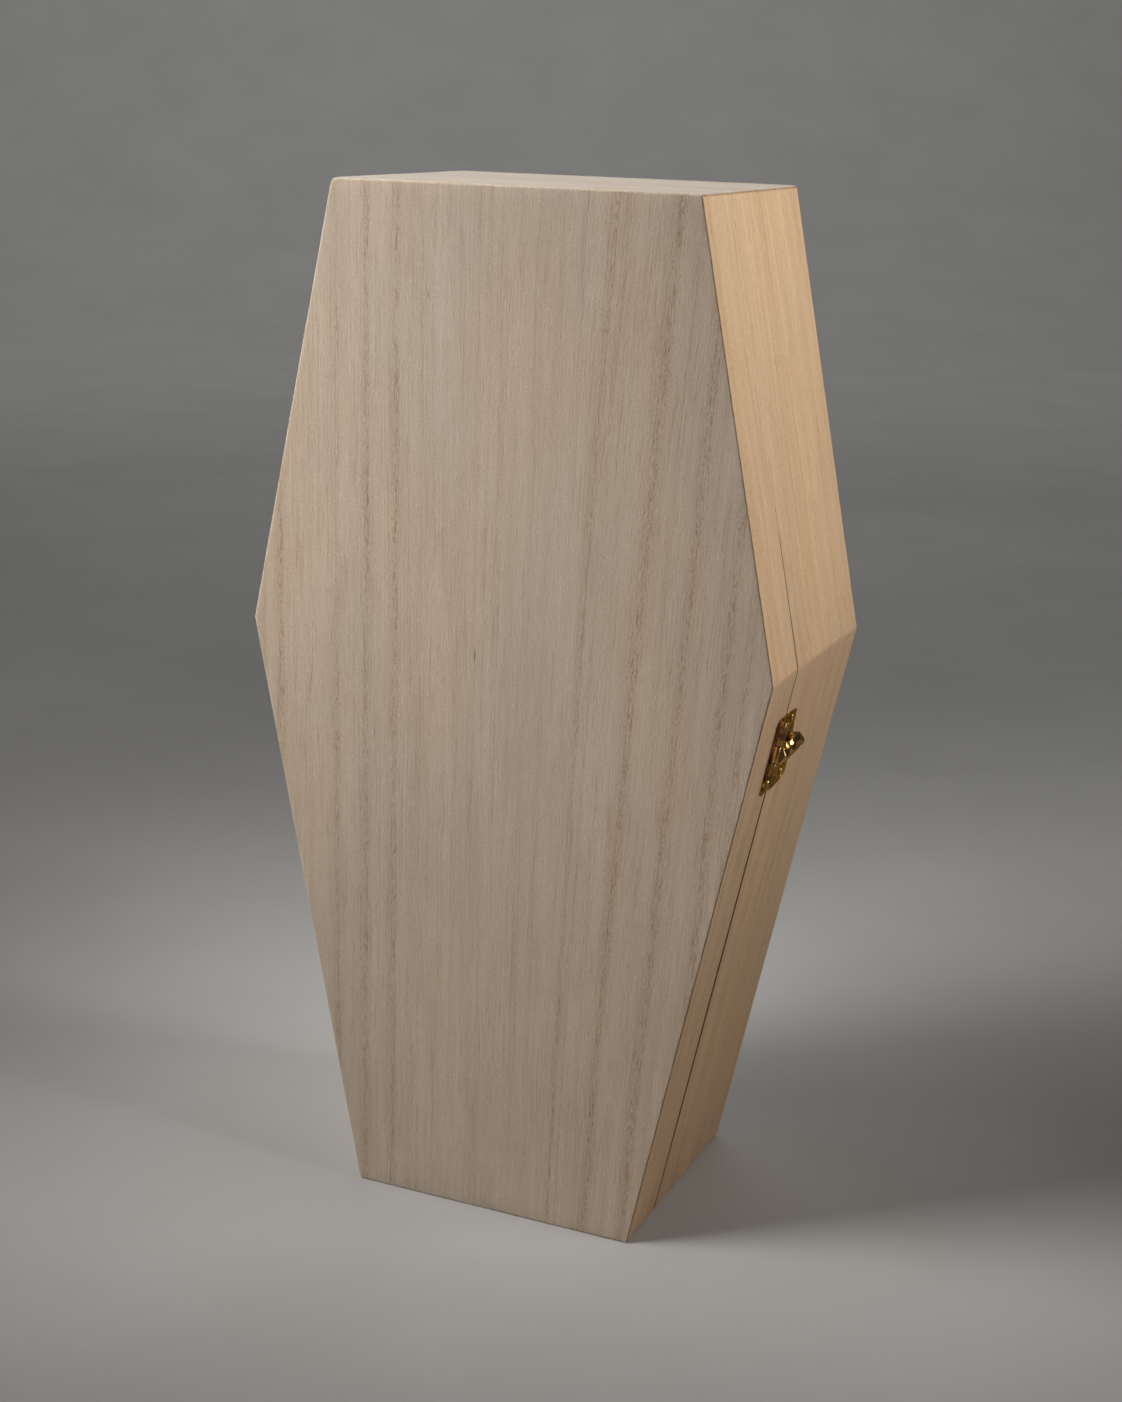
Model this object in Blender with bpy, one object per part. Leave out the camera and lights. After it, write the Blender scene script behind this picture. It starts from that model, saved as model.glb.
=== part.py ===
"""A small coffin-shaped wooden box standing on its foot end: a deep box half behind, a shallow lid in front, two butt
hinges on the left side and a clasp with a swinging tongue on the right side. Metres, +Z up, -Y is the lid's face, and
the origin is the middle of the underside."""

import math

import bmesh
import bpy
from mathutils import Matrix, Vector

for old in list(bpy.data.objects):
    bpy.data.objects.remove(old, do_unlink=True)

# ---------------------------------------------------------------- driving dimensions
HEIGHT = 0.3000
HEAD_WIDTH = 0.1080
SHOULDER_WIDTH = 0.1600
FOOT_WIDTH = 0.0890
SHOULDER_HEIGHT = 0.1735
DEPTH = 0.0780
LID_DEPTH = 0.0212
SEAM_GAP = 0.0005
PANEL = 0.0030  # face and back panels
WALL = 0.0070  # rim and side boards
JOINT_GAP = 0.0003  # between boards that touch
ARRIS = 0.0008  # rounding of the outer arrises
SEAM_ARRIS = 0.0005

METAL_GAP = 0.0001  # between brass pieces that touch
PLATE = 0.0005  # thickness of the clasp's plates
PIN_R = 0.00050
KNUCKLE_IN = 0.00060
KNUCKLE_OUT = 0.00125
ROUND = 20  # facets round a knuckle

# clasp, on the lower right side: a runs down the side from the shoulder, v back from the lid's face, p outwards
CLASP_TOP = 0.0134
CLASP_BOTTOM = 0.0364
CLASP_LID_EDGE = 0.0146
CLASP_AXIS_V = 0.0156
CLASP_AXIS_P = 0.00165
TONGUE_KNUCKLE = (0.0207, 0.0255)
TONGUE_THICK = 0.0006
TONGUE_PATH = ((0.0149, 0.0026), (0.0153, 0.0040), (0.0166, 0.0047), (0.0182, 0.0042), (0.0193, 0.0037), (0.0206, 0.0046), (0.0221, 0.0047), (0.0233, 0.0038), (0.0246, 0.0042), (0.0260, 0.0046), (0.0273, 0.0042), (0.0288, 0.0049))
TONGUE_SKEW = 0.0013
TONGUE_FLARE = 0.0011
TONGUE_CROWN = 0.0014
CATCH_V = 0.0256

# hinges, on the lower left side: a runs up the side from the foot
HINGE_CENTRES = (0.034, 0.143)
HINGE_LENGTH = 0.020
HINGE_LEAF = 0.0085
HINGE_PLATE = 0.0006
HINGE_KNUCKLE_OUT = 0.0014
HINGE_AXIS_P = 0.00175
HINGE_PIN_R = 0.0006
HINGE_KNUCKLE_IN = 0.0007

NAIL_HEAD_R = 0.00115
NAIL_HEAD_H = 0.00045
NAIL_SHANK_R = 0.00045
NAIL_LENGTH = 0.0050
NAIL_CLEAR = 0.0003

FRONT = -DEPTH / 2
BACK = DEPTH / 2
LID_SEAM = FRONT + LID_DEPTH
BOX_SEAM = LID_SEAM + SEAM_GAP
SEAM_V = LID_DEPTH + SEAM_GAP / 2


# ---------------------------------------------------------------- materials
def material(name, colour, roughness, metallic):
    made = bpy.data.materials.new(name)
    made.use_nodes = True
    shader = made.node_tree.nodes["Principled BSDF"]
    shader.inputs["Base Color"].default_value = (*colour, 1.0)
    shader.inputs["Roughness"].default_value = roughness
    shader.inputs["Metallic"].default_value = metallic
    made.diffuse_color = (*colour, 1.0)
    return made


def wood(node, colour):
    return material(node + "_wood", colour, 0.62, 0.0)


PALE = (0.56, 0.45, 0.34)
HONEY = (0.58, 0.44, 0.29)
BRASS = (0.78, 0.55, 0.22)


# ---------------------------------------------------------------- helpers
def new_object(name, bm, matrix=None, mat=None, smooth=False):
    bmesh.ops.recalc_face_normals(bm, faces=bm.faces)
    mesh = bpy.data.meshes.new(name)
    bm.to_mesh(mesh)
    bm.free()
    if smooth:
        for face in mesh.polygons:
            face.use_smooth = True
        mesh.set_sharp_from_angle(angle=math.radians(35))
    obj = bpy.data.objects.new(name, mesh)
    bpy.context.scene.collection.objects.link(obj)
    if matrix is not None:
        obj.matrix_world = matrix
    if mat is not None:
        mesh.materials.append(mat)
    return obj


def helper(obj):
    obj.hide_render = True
    obj.display_type = "WIRE"
    return obj


def boolean(obj, other, operation):
    helper(other)
    mod = obj.modifiers.new(other.name, "BOOLEAN")
    mod.operation = operation
    mod.solver = "EXACT"
    mod.object = other


def cross(p, d, q, e):
    """Where the line through p along d meets the line through q along e, in two dimensions."""
    t = ((q.x - p.x) * e.y - (q.y - p.y) * e.x) / (d.x * e.y - d.y * e.x)
    return p + d * t


def outline(inset=0.0):
    """The six corners (x, z) of the coffin shape, anticlockwise from the foot's right corner, moved inwards by inset."""
    right = [(FOOT_WIDTH / 2, 0.0), (SHOULDER_WIDTH / 2, SHOULDER_HEIGHT), (HEAD_WIDTH / 2, HEIGHT)]
    corners = [Vector(c) for c in right + [(-x, z) for x, z in reversed(right)]]
    if inset == 0.0:
        return corners
    lines = []
    for i, corner in enumerate(corners):
        along = (corners[(i + 1) % 6] - corner).normalized()
        lines.append((corner + Vector((-along.y, along.x)) * inset, along))
    return [cross(*lines[i - 1], *lines[i]) for i in range(6)]


OUTER, INNER = outline(), outline(WALL)
SIDES = {"lower_right": 0, "upper_right": 1, "head": 2, "upper_left": 3, "lower_left": 4, "foot": 5}


def board(name, side, y0, y1, seam_y, colour):
    """One mitred board of the rim, from y0 to y1, with its outer edge at the seam rounded."""
    i, j = SIDES[side], (SIDES[side] + 1) % 6
    along_out = (OUTER[j] - OUTER[i]).normalized()
    quad = []
    for corner, inner, sign in ((OUTER[i], INNER[i], 1), (OUTER[j], INNER[j], -1)):
        mitre = (inner - corner).normalized()
        normal = Vector((-mitre.y, mitre.x))
        if normal.dot(along_out) * sign < 0:
            normal = -normal
        start = corner + normal * JOINT_GAP / 2
        quad.append((cross(start, mitre, OUTER[i], along_out), cross(start, mitre, INNER[i], along_out)))
    points = [quad[0][0], quad[1][0], quad[1][1], quad[0][1]]
    bm = bmesh.new()
    face = bm.faces.new([bm.verts.new((p.x, y0, p.y)) for p in points])
    moved = bmesh.ops.extrude_face_region(bm, geom=[face])
    bmesh.ops.translate(bm, vec=(0, y1 - y0, 0), verts=[v for v in moved["geom"] if isinstance(v, bmesh.types.BMVert)])
    outward = Vector((along_out.y, -along_out.x))
    edges = []
    for edge in bm.edges:
        on_face = all(abs((Vector((v.co.x, v.co.z)) - OUTER[i]).dot(outward)) < 1e-6 for v in edge.verts)
        if on_face and all(abs(v.co.y - seam_y) < 1e-6 for v in edge.verts):
            edges.append(edge)
    bmesh.ops.bevel(bm, geom=edges, offset=SEAM_ARRIS, segments=2, profile=0.5, affect="EDGES")
    return new_object(name, bm, mat=wood(name, colour))


def panel(name, y0, y1, face_y, colour):
    """A six-sided panel whose outer face, at face_y, has a rounded edge."""
    bm = bmesh.new()
    face = bm.faces.new([bm.verts.new((p.x, y0, p.y)) for p in OUTER])
    moved = bmesh.ops.extrude_face_region(bm, geom=[face])
    bmesh.ops.translate(bm, vec=(0, y1 - y0, 0), verts=[v for v in moved["geom"] if isinstance(v, bmesh.types.BMVert)])
    edges = [e for e in bm.edges if all(abs(v.co.y - face_y) < 1e-6 for v in e.verts)]
    bmesh.ops.bevel(bm, geom=edges, offset=ARRIS, segments=3, profile=0.5, affect="EDGES")
    return new_object(name, bm, mat=wood(name, colour))


def side_frame(sign):
    """Local (a, v, p) of a lower side. On the right a runs down from the shoulder; on the left it runs up from the foot."""
    up = Vector(((SHOULDER_WIDTH - FOOT_WIDTH) / 2 * sign, 0, SHOULDER_HEIGHT)).normalized()
    out = Vector((up.z * sign, 0, -abs(up.x)))
    a = -up if sign > 0 else up
    start = Vector((SHOULDER_WIDTH / 2, FRONT, SHOULDER_HEIGHT)) if sign > 0 else Vector((-FOOT_WIDTH / 2, FRONT, 0))
    frame = Matrix((a, Vector((0, 1, 0)), out)).transposed().to_4x4()
    frame.translation = start
    return frame


RIGHT, LEFT = side_frame(1), side_frame(-1)


def add_block(bm, a, v, p):
    """A block between the given (low, high) pairs."""
    size = Vector((a[1] - a[0], v[1] - v[0], p[1] - p[0]))
    middle = Vector(((a[0] + a[1]) / 2, (v[0] + v[1]) / 2, (p[0] + p[1]) / 2))
    bmesh.ops.create_cube(bm, size=1.0, matrix=Matrix.Translation(middle) @ Matrix.Diagonal((*size, 1.0)))


def add_tube(bm, a, v, p, outer, inner=0.0, count=ROUND):
    """A tube, or a rod where inner is 0, along a, with its axis at (v, p)."""
    rings = []
    for radius in (outer, inner) if inner else (outer,):
        for end in a:
            rings.append([bm.verts.new((end, v + radius * math.cos(2 * math.pi * k / count), p + radius * math.sin(2 * math.pi * k / count))) for k in range(count)])
    pairs = ((0, 1), (1, 3), (3, 2), (2, 0)) if inner else ((0, 1),)
    for first, second in pairs:
        for k in range(count):
            n = (k + 1) % count
            bm.faces.new((rings[first][k], rings[first][n], rings[second][n], rings[second][k]))
    if not inner:
        bm.faces.new(rings[0])
        bm.faces.new(rings[1])


def tube_object(name, frame, *args, **more):
    bm = bmesh.new()
    add_tube(bm, *args, **more)
    return new_object(name, bm, frame)


def block_object(name, frame, *args):
    bm = bmesh.new()
    add_block(bm, *args)
    return new_object(name, bm, frame)


def nail(name, frame, a, v, base):
    """A round-headed nail whose head starts at height base above the wood; it returns the nail and its cutting rod."""
    profile = [(0.0, base + NAIL_HEAD_H)]
    steps = 4
    for k in range(1, steps + 1):
        turn = math.pi / 2 * k / steps
        profile.append((NAIL_HEAD_R * math.sin(turn), base + NAIL_HEAD_H * 0.25 + NAIL_HEAD_H * 0.75 * math.cos(turn)))
    profile += [(NAIL_HEAD_R, base), (NAIL_SHANK_R, base), (NAIL_SHANK_R, -NAIL_LENGTH + 0.001), (0.0, -NAIL_LENGTH)]
    bm = bmesh.new()
    path = [bm.verts.new((a + r, v, p)) for r, p in profile]
    edges = [bm.edges.new(pair) for pair in zip(path, path[1:])]
    bmesh.ops.spin(bm, geom=path + edges, cent=(a, v, 0), axis=(0, 0, 1), angle=2 * math.pi, steps=12, use_merge=True)
    bmesh.ops.remove_doubles(bm, verts=bm.verts, dist=1e-6)
    obj = new_object(name, bm, frame, material(name + "_brass", BRASS, 0.32, 1.0), smooth=True)
    bm = bmesh.new()
    turned = Matrix.Translation((a, v, (base - NAIL_LENGTH) / 2 - 0.0001))
    bmesh.ops.create_cone(bm, cap_ends=True, segments=12, radius1=NAIL_SHANK_R + NAIL_CLEAR, radius2=NAIL_SHANK_R + NAIL_CLEAR, depth=NAIL_LENGTH + base + 0.0006, matrix=turned)
    return obj, helper(new_object(name + "_hole", bm, frame))


def brass(name):
    return material(name + "_brass", BRASS, 0.3, 1.0)


# ---------------------------------------------------------------- box half
box_panel = panel("box_back_panel", BACK - PANEL, BACK, BACK, PALE)
box_boards = {}
for side in SIDES:
    title = "box_" + side + "_board"
    box_boards[side] = board(title, side, BOX_SEAM, BACK - PANEL - JOINT_GAP, BOX_SEAM, HONEY if "right" in side else PALE)

# ---------------------------------------------------------------- lid half
lid_panel = panel("lid_face_panel", FRONT, FRONT + PANEL, FRONT, PALE)
lid_rails = {}
for side in SIDES:
    title = "lid_" + side + "_rail"
    lid_rails[side] = board(title, side, FRONT + PANEL + JOINT_GAP, LID_SEAM, LID_SEAM, HONEY if "right" in side else PALE)

# ---------------------------------------------------------------- clasp
PLATE_BASE, PLATE_TOP = METAL_GAP, METAL_GAP + PLATE
k0, k1 = TONGUE_KNUCKLE
gap = METAL_GAP * 2

lid_plate = block_object("clasp_lid_plate", RIGHT, (CLASP_TOP, CLASP_BOTTOM), (CLASP_LID_EDGE, LID_DEPTH - 0.0002), (PLATE_BASE, PLATE_TOP))
lid_plate.data.materials.append(brass("clasp_lid_plate"))
boolean(lid_plate, block_object("clasp_notch", RIGHT, (k0 - gap, k1 + gap), (CLASP_LID_EDGE - 0.001, CLASP_AXIS_V + KNUCKLE_OUT + 0.0004), (-0.001, 0.002)), "DIFFERENCE")
for part, span in (("upper", (CLASP_TOP, k0 - gap)), ("lower", (k1 + gap, 0.0310))):
    boolean(lid_plate, tube_object("clasp_knuckle_" + part, RIGHT, span, CLASP_AXIS_V, CLASP_AXIS_P, KNUCKLE_OUT, KNUCKLE_IN), "UNION")

tube = tube_object("clasp_hinge_pin", RIGHT, (CLASP_TOP + 0.0002, 0.0308), CLASP_AXIS_V, CLASP_AXIS_P, PIN_R, count=16)
tube.data.materials.append(brass("clasp_hinge_pin"))
clasp_pin = tube


def smooth_path(points, count):
    """Points at even steps along a Catmull-Rom curve through the given points."""
    ends = [Vector(points[0]) * 2 - Vector(points[1])] + [Vector(q) for q in points] + [Vector(points[-1]) * 2 - Vector(points[-2])]
    found = []
    for s in range(count + 1):
        t = s / count * (len(points) - 1)
        i = min(int(t), len(points) - 2)
        t -= i
        p0, p1, p2, p3 = ends[i : i + 4]
        found.append(0.5 * (2 * p1 + (p2 - p0) * t + (2 * p0 - 5 * p1 + 4 * p2 - p3) * t * t + (3 * p1 - p0 - 3 * p2 + p3) * t ** 3))
    return found


def ease(t):
    t = min(1.0, max(0.0, t))
    return t * t * (3 - 2 * t)


def tongue_section(t):
    """The tongue at share t of its length: its two edges (low a, high a), and how far they lie below its crest. It is
    narrow at the knuckle, crowned over the catch and round at the finger tab."""
    middle = (k0 + k1) / 2 - TONGUE_SKEW * ease((t - 0.25) / 0.45)
    half = (k1 - k0) / 2 + TONGUE_FLARE * ease((t - 0.3) / 0.4)
    if t > 0.72:
        half *= max(0.16, 1 - ((t - 0.72) / 0.28) ** 2.6) ** 0.46
    drop = TONGUE_CROWN * ease(t / 0.2) * (1 - 0.55 * ease((t - 0.7) / 0.3))
    return middle - half, middle + half, drop


def tongue():
    steps, across = 40, 8
    path = smooth_path(TONGUE_PATH, steps)
    bm = bmesh.new()
    grid = []
    for s, point in enumerate(path):
        low, high, drop = tongue_section(s / steps)
        row = []
        for c in range(across + 1):
            w = 2 * c / across - 1
            row.append(bm.verts.new((low + (high - low) * c / across, point.x, point.y - drop * w * w)))
        grid.append(row)
    for s in range(steps):
        for c in range(across):
            bm.faces.new((grid[s][c], grid[s][c + 1], grid[s + 1][c + 1], grid[s + 1][c]))
    obj = new_object("clasp_tongue", bm, RIGHT, brass("clasp_tongue"), smooth=True)
    thick = obj.modifiers.new("sheet", "SOLIDIFY")
    thick.thickness = TONGUE_THICK
    thick.offset = 0.0
    thick.use_even_offset = True
    boolean(obj, tube_object("clasp_tongue_knuckle", RIGHT, TONGUE_KNUCKLE, CLASP_AXIS_V, CLASP_AXIS_P, KNUCKLE_OUT, KNUCKLE_IN), "UNION")
    return obj


clasp_tongue = tongue()


def catch_outline():
    """The catch plate's outline (a, v): straight beside the seam, swelling to a rounded lobe towards the bottom."""
    inner = LID_DEPTH + SEAM_GAP + 0.0002
    points = [(CLASP_BOTTOM, inner), (CLASP_TOP, inner)]
    span = CLASP_BOTTOM - CLASP_TOP
    for k in range(19):
        s = k / 18
        bulge = 0.0072 + 0.0052 * math.sin(math.pi * min(1.0, s / 1.5) ** 1.15 * 0.75)
        if s > 0.86:
            bulge *= math.sqrt(max(0.12, 1 - ((s - 0.86) / 0.14) ** 2 * 0.88))
        points.append((CLASP_TOP + span * s, inner + bulge))
    return points


def catch_plate():
    bm = bmesh.new()
    face = bm.faces.new([bm.verts.new((a, v, PLATE_BASE)) for a, v in catch_outline()])
    moved = bmesh.ops.extrude_face_region(bm, geom=[face])
    bmesh.ops.translate(bm, vec=(0, 0, PLATE), verts=[v for v in moved["geom"] if isinstance(v, bmesh.types.BMVert)])
    obj = new_object("clasp_catch_plate", bm, RIGHT, brass("clasp_catch_plate"))
    # the catch that the tongue closes over: a short ridge with a rounded top
    bm = bmesh.new()
    add_block(bm, (0.0207, 0.0235), (CATCH_V - 0.0010, CATCH_V + 0.0010), (PLATE_BASE + 0.0002, 0.0029))
    top = [e for e in bm.edges if all(v.co.z > 0.0028 for v in e.verts)]
    bmesh.ops.bevel(bm, geom=top, offset=0.0008, segments=3, profile=0.5, affect="EDGES")
    boolean(obj, new_object("clasp_catch_ridge", bm, RIGHT), "UNION")
    return obj


clasp_catch = catch_plate()

nails = {}
HEAD_BASE = PLATE_TOP + METAL_GAP
for name, a, v, plate, wood_piece in (
    ("clasp_lid_nail_upper", 0.0166, 0.0192, lid_plate, lid_rails["lower_right"]),
    ("clasp_lid_nail_lower", 0.0335, 0.0188, lid_plate, lid_rails["lower_right"]),
    ("clasp_catch_nail_top", 0.0152, 0.0262, clasp_catch, box_boards["lower_right"]),
    ("clasp_catch_nail_seam", 0.0178, 0.0236, clasp_catch, box_boards["lower_right"]),
    ("clasp_catch_nail_bottom", 0.0328, 0.0296, clasp_catch, box_boards["lower_right"]),
):
    nails[name], hole = nail(name, RIGHT, a, v, HEAD_BASE)
    boolean(plate, hole, "DIFFERENCE")
    boolean(wood_piece, hole, "DIFFERENCE")

# ---------------------------------------------------------------- hinges
hinge_pins, hinge_lid_leaves, hinge_box_leaves = [], [], []
HINGE_TOP = METAL_GAP + HINGE_PLATE
for title, centre in zip(("lower", "upper"), HINGE_CENTRES):
    low, high = centre - HINGE_LENGTH / 2, centre + HINGE_LENGTH / 2
    third = HINGE_LENGTH / 3
    box_spans = ((low, low + third - gap), (high - third + gap, high))
    lid_spans = ((low + third, high - third),)
    clear = HINGE_KNUCKLE_OUT + 0.0003
    for half, sign, spans in (("box", 1, box_spans), ("lid", -1, lid_spans)):
        name = "hinge_" + title + "_" + half + "_leaf"
        edges = sorted((SEAM_V + sign * clear, SEAM_V + sign * HINGE_LEAF))
        leaf = block_object(name, LEFT, (low, high), edges, (METAL_GAP, HINGE_TOP))
        leaf.data.materials.append(brass(name))
        for number, span in enumerate(spans):
            web = sorted((SEAM_V + sign * 0.0004, SEAM_V + sign * (clear + 0.0005)))
            boolean(leaf, block_object(name + "_web%d" % number, LEFT, span, web, (METAL_GAP, HINGE_TOP)), "UNION")
            boolean(leaf, tube_object(name + "_knuckle%d" % number, LEFT, span, SEAM_V, HINGE_AXIS_P, HINGE_KNUCKLE_OUT, HINGE_KNUCKLE_IN), "UNION")
        bore = tube_object(name + "_bore", LEFT, (low - 0.001, high + 0.001), SEAM_V, HINGE_AXIS_P, HINGE_KNUCKLE_IN, count=ROUND)
        boolean(leaf, bore, "DIFFERENCE")
        wood_piece = box_boards["lower_left"] if half == "box" else lid_rails["lower_left"]
        for number, offset in enumerate((-0.0062, 0.0062)):
            nail_name = "hinge_" + title + "_" + half + ("_nail_a", "_nail_b")[number]
            nails[nail_name], hole = nail(nail_name, LEFT, centre + offset, SEAM_V + sign * 0.0055, HINGE_TOP + METAL_GAP)
            boolean(leaf, hole, "DIFFERENCE")
            boolean(wood_piece, hole, "DIFFERENCE")
        (hinge_box_leaves if half == "box" else hinge_lid_leaves).append(leaf)
    pin = tube_object("hinge_" + title + "_pin", LEFT, (low + 0.0002, high - 0.0002), SEAM_V, HINGE_AXIS_P, HINGE_PIN_R, count=16)
    pin.data.materials.append(brass("hinge_" + title + "_pin"))
    hinge_pins.append(pin)


# ---------------------------------------------------------------- axes and parenting
def empty(name, frame, at, parent=None):
    made = bpy.data.objects.new(name, None)
    bpy.context.scene.collection.objects.link(made)
    made.empty_display_size = 0.02
    made.matrix_world = frame @ Matrix.Translation(at)
    if parent is not None:
        attach(made, parent)
    return made


def attach(child, parent):
    bpy.context.view_layer.update()
    child.parent = parent
    child.matrix_parent_inverse = parent.matrix_world.inverted()


lid_axis = empty("lid_hinge_axis", LEFT, (sum(HINGE_CENTRES) / 2, SEAM_V, HINGE_AXIS_P))
tongue_axis = empty("clasp_tongue_axis", RIGHT, ((k0 + k1) / 2, CLASP_AXIS_V, CLASP_AXIS_P), lid_axis)
for piece in [lid_panel, *lid_rails.values(), *hinge_lid_leaves, lid_plate, clasp_pin]:
    attach(piece, lid_axis)
for name, piece in nails.items():
    if "_lid_" in name:
        attach(piece, lid_axis)
attach(clasp_tongue, tongue_axis)
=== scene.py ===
import math

import bmesh
import bpy
from mathutils import Matrix, Vector, noise


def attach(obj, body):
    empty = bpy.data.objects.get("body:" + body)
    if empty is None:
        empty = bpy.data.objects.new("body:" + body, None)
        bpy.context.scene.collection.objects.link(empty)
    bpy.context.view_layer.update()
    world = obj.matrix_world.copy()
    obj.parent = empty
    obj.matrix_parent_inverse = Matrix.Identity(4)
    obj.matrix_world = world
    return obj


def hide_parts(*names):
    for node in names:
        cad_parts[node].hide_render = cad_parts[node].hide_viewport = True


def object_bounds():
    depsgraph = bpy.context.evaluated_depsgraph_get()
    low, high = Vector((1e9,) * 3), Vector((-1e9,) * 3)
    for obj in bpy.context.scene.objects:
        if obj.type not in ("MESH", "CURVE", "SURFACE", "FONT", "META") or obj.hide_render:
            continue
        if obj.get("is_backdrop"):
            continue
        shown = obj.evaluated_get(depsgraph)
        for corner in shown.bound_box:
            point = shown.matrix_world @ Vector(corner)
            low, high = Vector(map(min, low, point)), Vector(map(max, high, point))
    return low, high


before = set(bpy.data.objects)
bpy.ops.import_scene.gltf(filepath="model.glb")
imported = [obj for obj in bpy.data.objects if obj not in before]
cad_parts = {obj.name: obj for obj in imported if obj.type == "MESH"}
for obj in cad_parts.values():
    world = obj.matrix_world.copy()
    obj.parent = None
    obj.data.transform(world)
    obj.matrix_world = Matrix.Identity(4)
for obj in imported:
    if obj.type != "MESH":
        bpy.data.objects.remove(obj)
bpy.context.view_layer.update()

scene = bpy.context.scene

# ---------------------------------------------------------------- the dimensions of the CAD model, metres
HEIGHT, HEAD_WIDTH, SHOULDER_WIDTH, FOOT_WIDTH = 0.3000, 0.1080, 0.1600, 0.0890
SHOULDER_HEIGHT, DEPTH, LID_DEPTH, SEAM_GAP = 0.1735, 0.0780, 0.0212, 0.0005
PANEL, WALL = 0.0030, 0.0070
FRONT, BACK = -DEPTH / 2, DEPTH / 2
LID_SEAM = FRONT + LID_DEPTH
BOX_SEAM = LID_SEAM + SEAM_GAP
SEAM_V = LID_DEPTH + SEAM_GAP / 2
SIDES = {"lower_right": 0, "upper_right": 1, "head": 2, "upper_left": 3, "lower_left": 4, "foot": 5}


def cross(p, d, q, e):
    t = ((q.x - p.x) * e.y - (q.y - p.y) * e.x) / (d.x * e.y - d.y * e.x)
    return p + d * t


def outline(inset=0.0, share=None):
    """The six corners (x, z) of the coffin shape, anticlockwise from the foot's right corner, moved inwards by inset."""
    right = [(FOOT_WIDTH / 2, 0.0), (SHOULDER_WIDTH / 2, SHOULDER_HEIGHT), (HEAD_WIDTH / 2, HEIGHT)]
    corners = [Vector(c) for c in right + [(-x, z) for x, z in reversed(right)]]
    lines = []
    for i, corner in enumerate(corners):
        along = (corners[(i + 1) % 6] - corner).normalized()
        lines.append((corner + Vector((-along.y, along.x)) * inset * (share[i] if share else 1.0), along))
    return [cross(*lines[i - 1], *lines[i]) for i in range(6)]


OUTER = outline()
ALONG = [(OUTER[(i + 1) % 6] - OUTER[i]).normalized() for i in range(6)]
LENGTH = [(OUTER[(i + 1) % 6] - OUTER[i]).length for i in range(6)]
OUTWARD = [Vector((d.y, -d.x)) for d in ALONG]
TURN = [math.acos(max(-1.0, min(1.0, ALONG[i - 1].dot(ALONG[i])))) for i in range(6)]
# how far each corner of the six is sanded round
CORNER_R = [0.0011, 0.0042, 0.0013, 0.0026, 0.0042, 0.0011]


# how wide each side's arris round the lid's face is, against the widest: the right-hand ones are crisp
ARRIS = [0.30, 0.35, 1.0, 0.9, 0.9, 0.6]


def smooth(t):
    t = min(1.0, max(0.0, t))
    return t * t * (3 - 2 * t)


def lerp_table(table, x):
    for (x0, y0), (x1, y1) in zip(table, table[1:]):
        if x <= x1:
            return y0 + (y1 - y0) * smooth((x - x0) / (x1 - x0))
    return table[-1][1]


# ---------------------------------------------------------------- node graphs
class Graph:
    """A material's node tree, written as calls."""

    def __init__(self, name):
        self.mat = bpy.data.materials.new(name)
        self.mat.use_nodes = True
        self.tree = self.mat.node_tree
        self.shader = self.tree.nodes["Principled BSDF"]

    def put(self, socket, value):
        if isinstance(value, bpy.types.NodeSocket):
            self.tree.links.new(value, socket)
        elif value is not None:
            socket.default_value = value

    def node(self, kind, *values, **props):
        made = self.tree.nodes.new("ShaderNode" + kind)
        for key, value in props.items():
            setattr(made, key, value)
        for socket, value in zip(made.inputs, values):
            self.put(socket, value)
        return made

    def m(self, op, *values, clamp=False):
        return self.node("Math", *values, operation=op, use_clamp=clamp).outputs[0]

    def add(self, *v):
        return self.m("ADD", *v)

    def mul(self, *v):
        return self.m("MULTIPLY", *v)

    def dot(self, vector, constant):
        return self.node("VectorMath", vector, constant, operation="DOT_PRODUCT").outputs["Value"]

    def xyz(self, x, y, z):
        return self.node("CombineXYZ", x, y, z).outputs[0]

    def range(self, value, a, b, c=0.0, d=1.0, kind="SMOOTHSTEP"):
        return self.node("MapRange", value, a, b, c, d, interpolation_type=kind, clamp=True).outputs[0]

    def noise(self, vector, detail=2.0, rough=0.5, distortion=0.0):
        made = self.node("TexNoise")
        self.put(made.inputs["Vector"], vector)
        made.inputs["Scale"].default_value = 1.0
        made.inputs["Detail"].default_value = detail
        made.inputs["Roughness"].default_value = rough
        made.inputs["Distortion"].default_value = distortion
        return made.outputs[0]

    def mix(self, factor, a, b, blend="MIX"):
        made = self.node("Mix", data_type="RGBA", blend_type=blend)
        made.clamp_factor = True
        self.put(made.inputs[0], factor)
        self.put(made.inputs[6], a)
        self.put(made.inputs[7], b)
        return made.outputs[2]

    def curve(self, value, points):
        made = self.node("FloatCurve")
        self.put(made.inputs["Value"], value)
        line = made.mapping.curves[0]
        for x, y in points[1:-1]:
            line.points.new(x, y)
        line.points[0].location = points[0]
        line.points[len(line.points) - 1].location = points[-1]
        made.mapping.update()
        return made.outputs[0]


def rgb(r, g, b):
    """A display colour, 0 to 255, as a linear one."""
    return tuple(((c / 255 + 0.055) / 1.055) ** 2.4 if c > 10 else c / 255 / 12.92 for c in (r, g, b)) + (1.0,)


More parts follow.
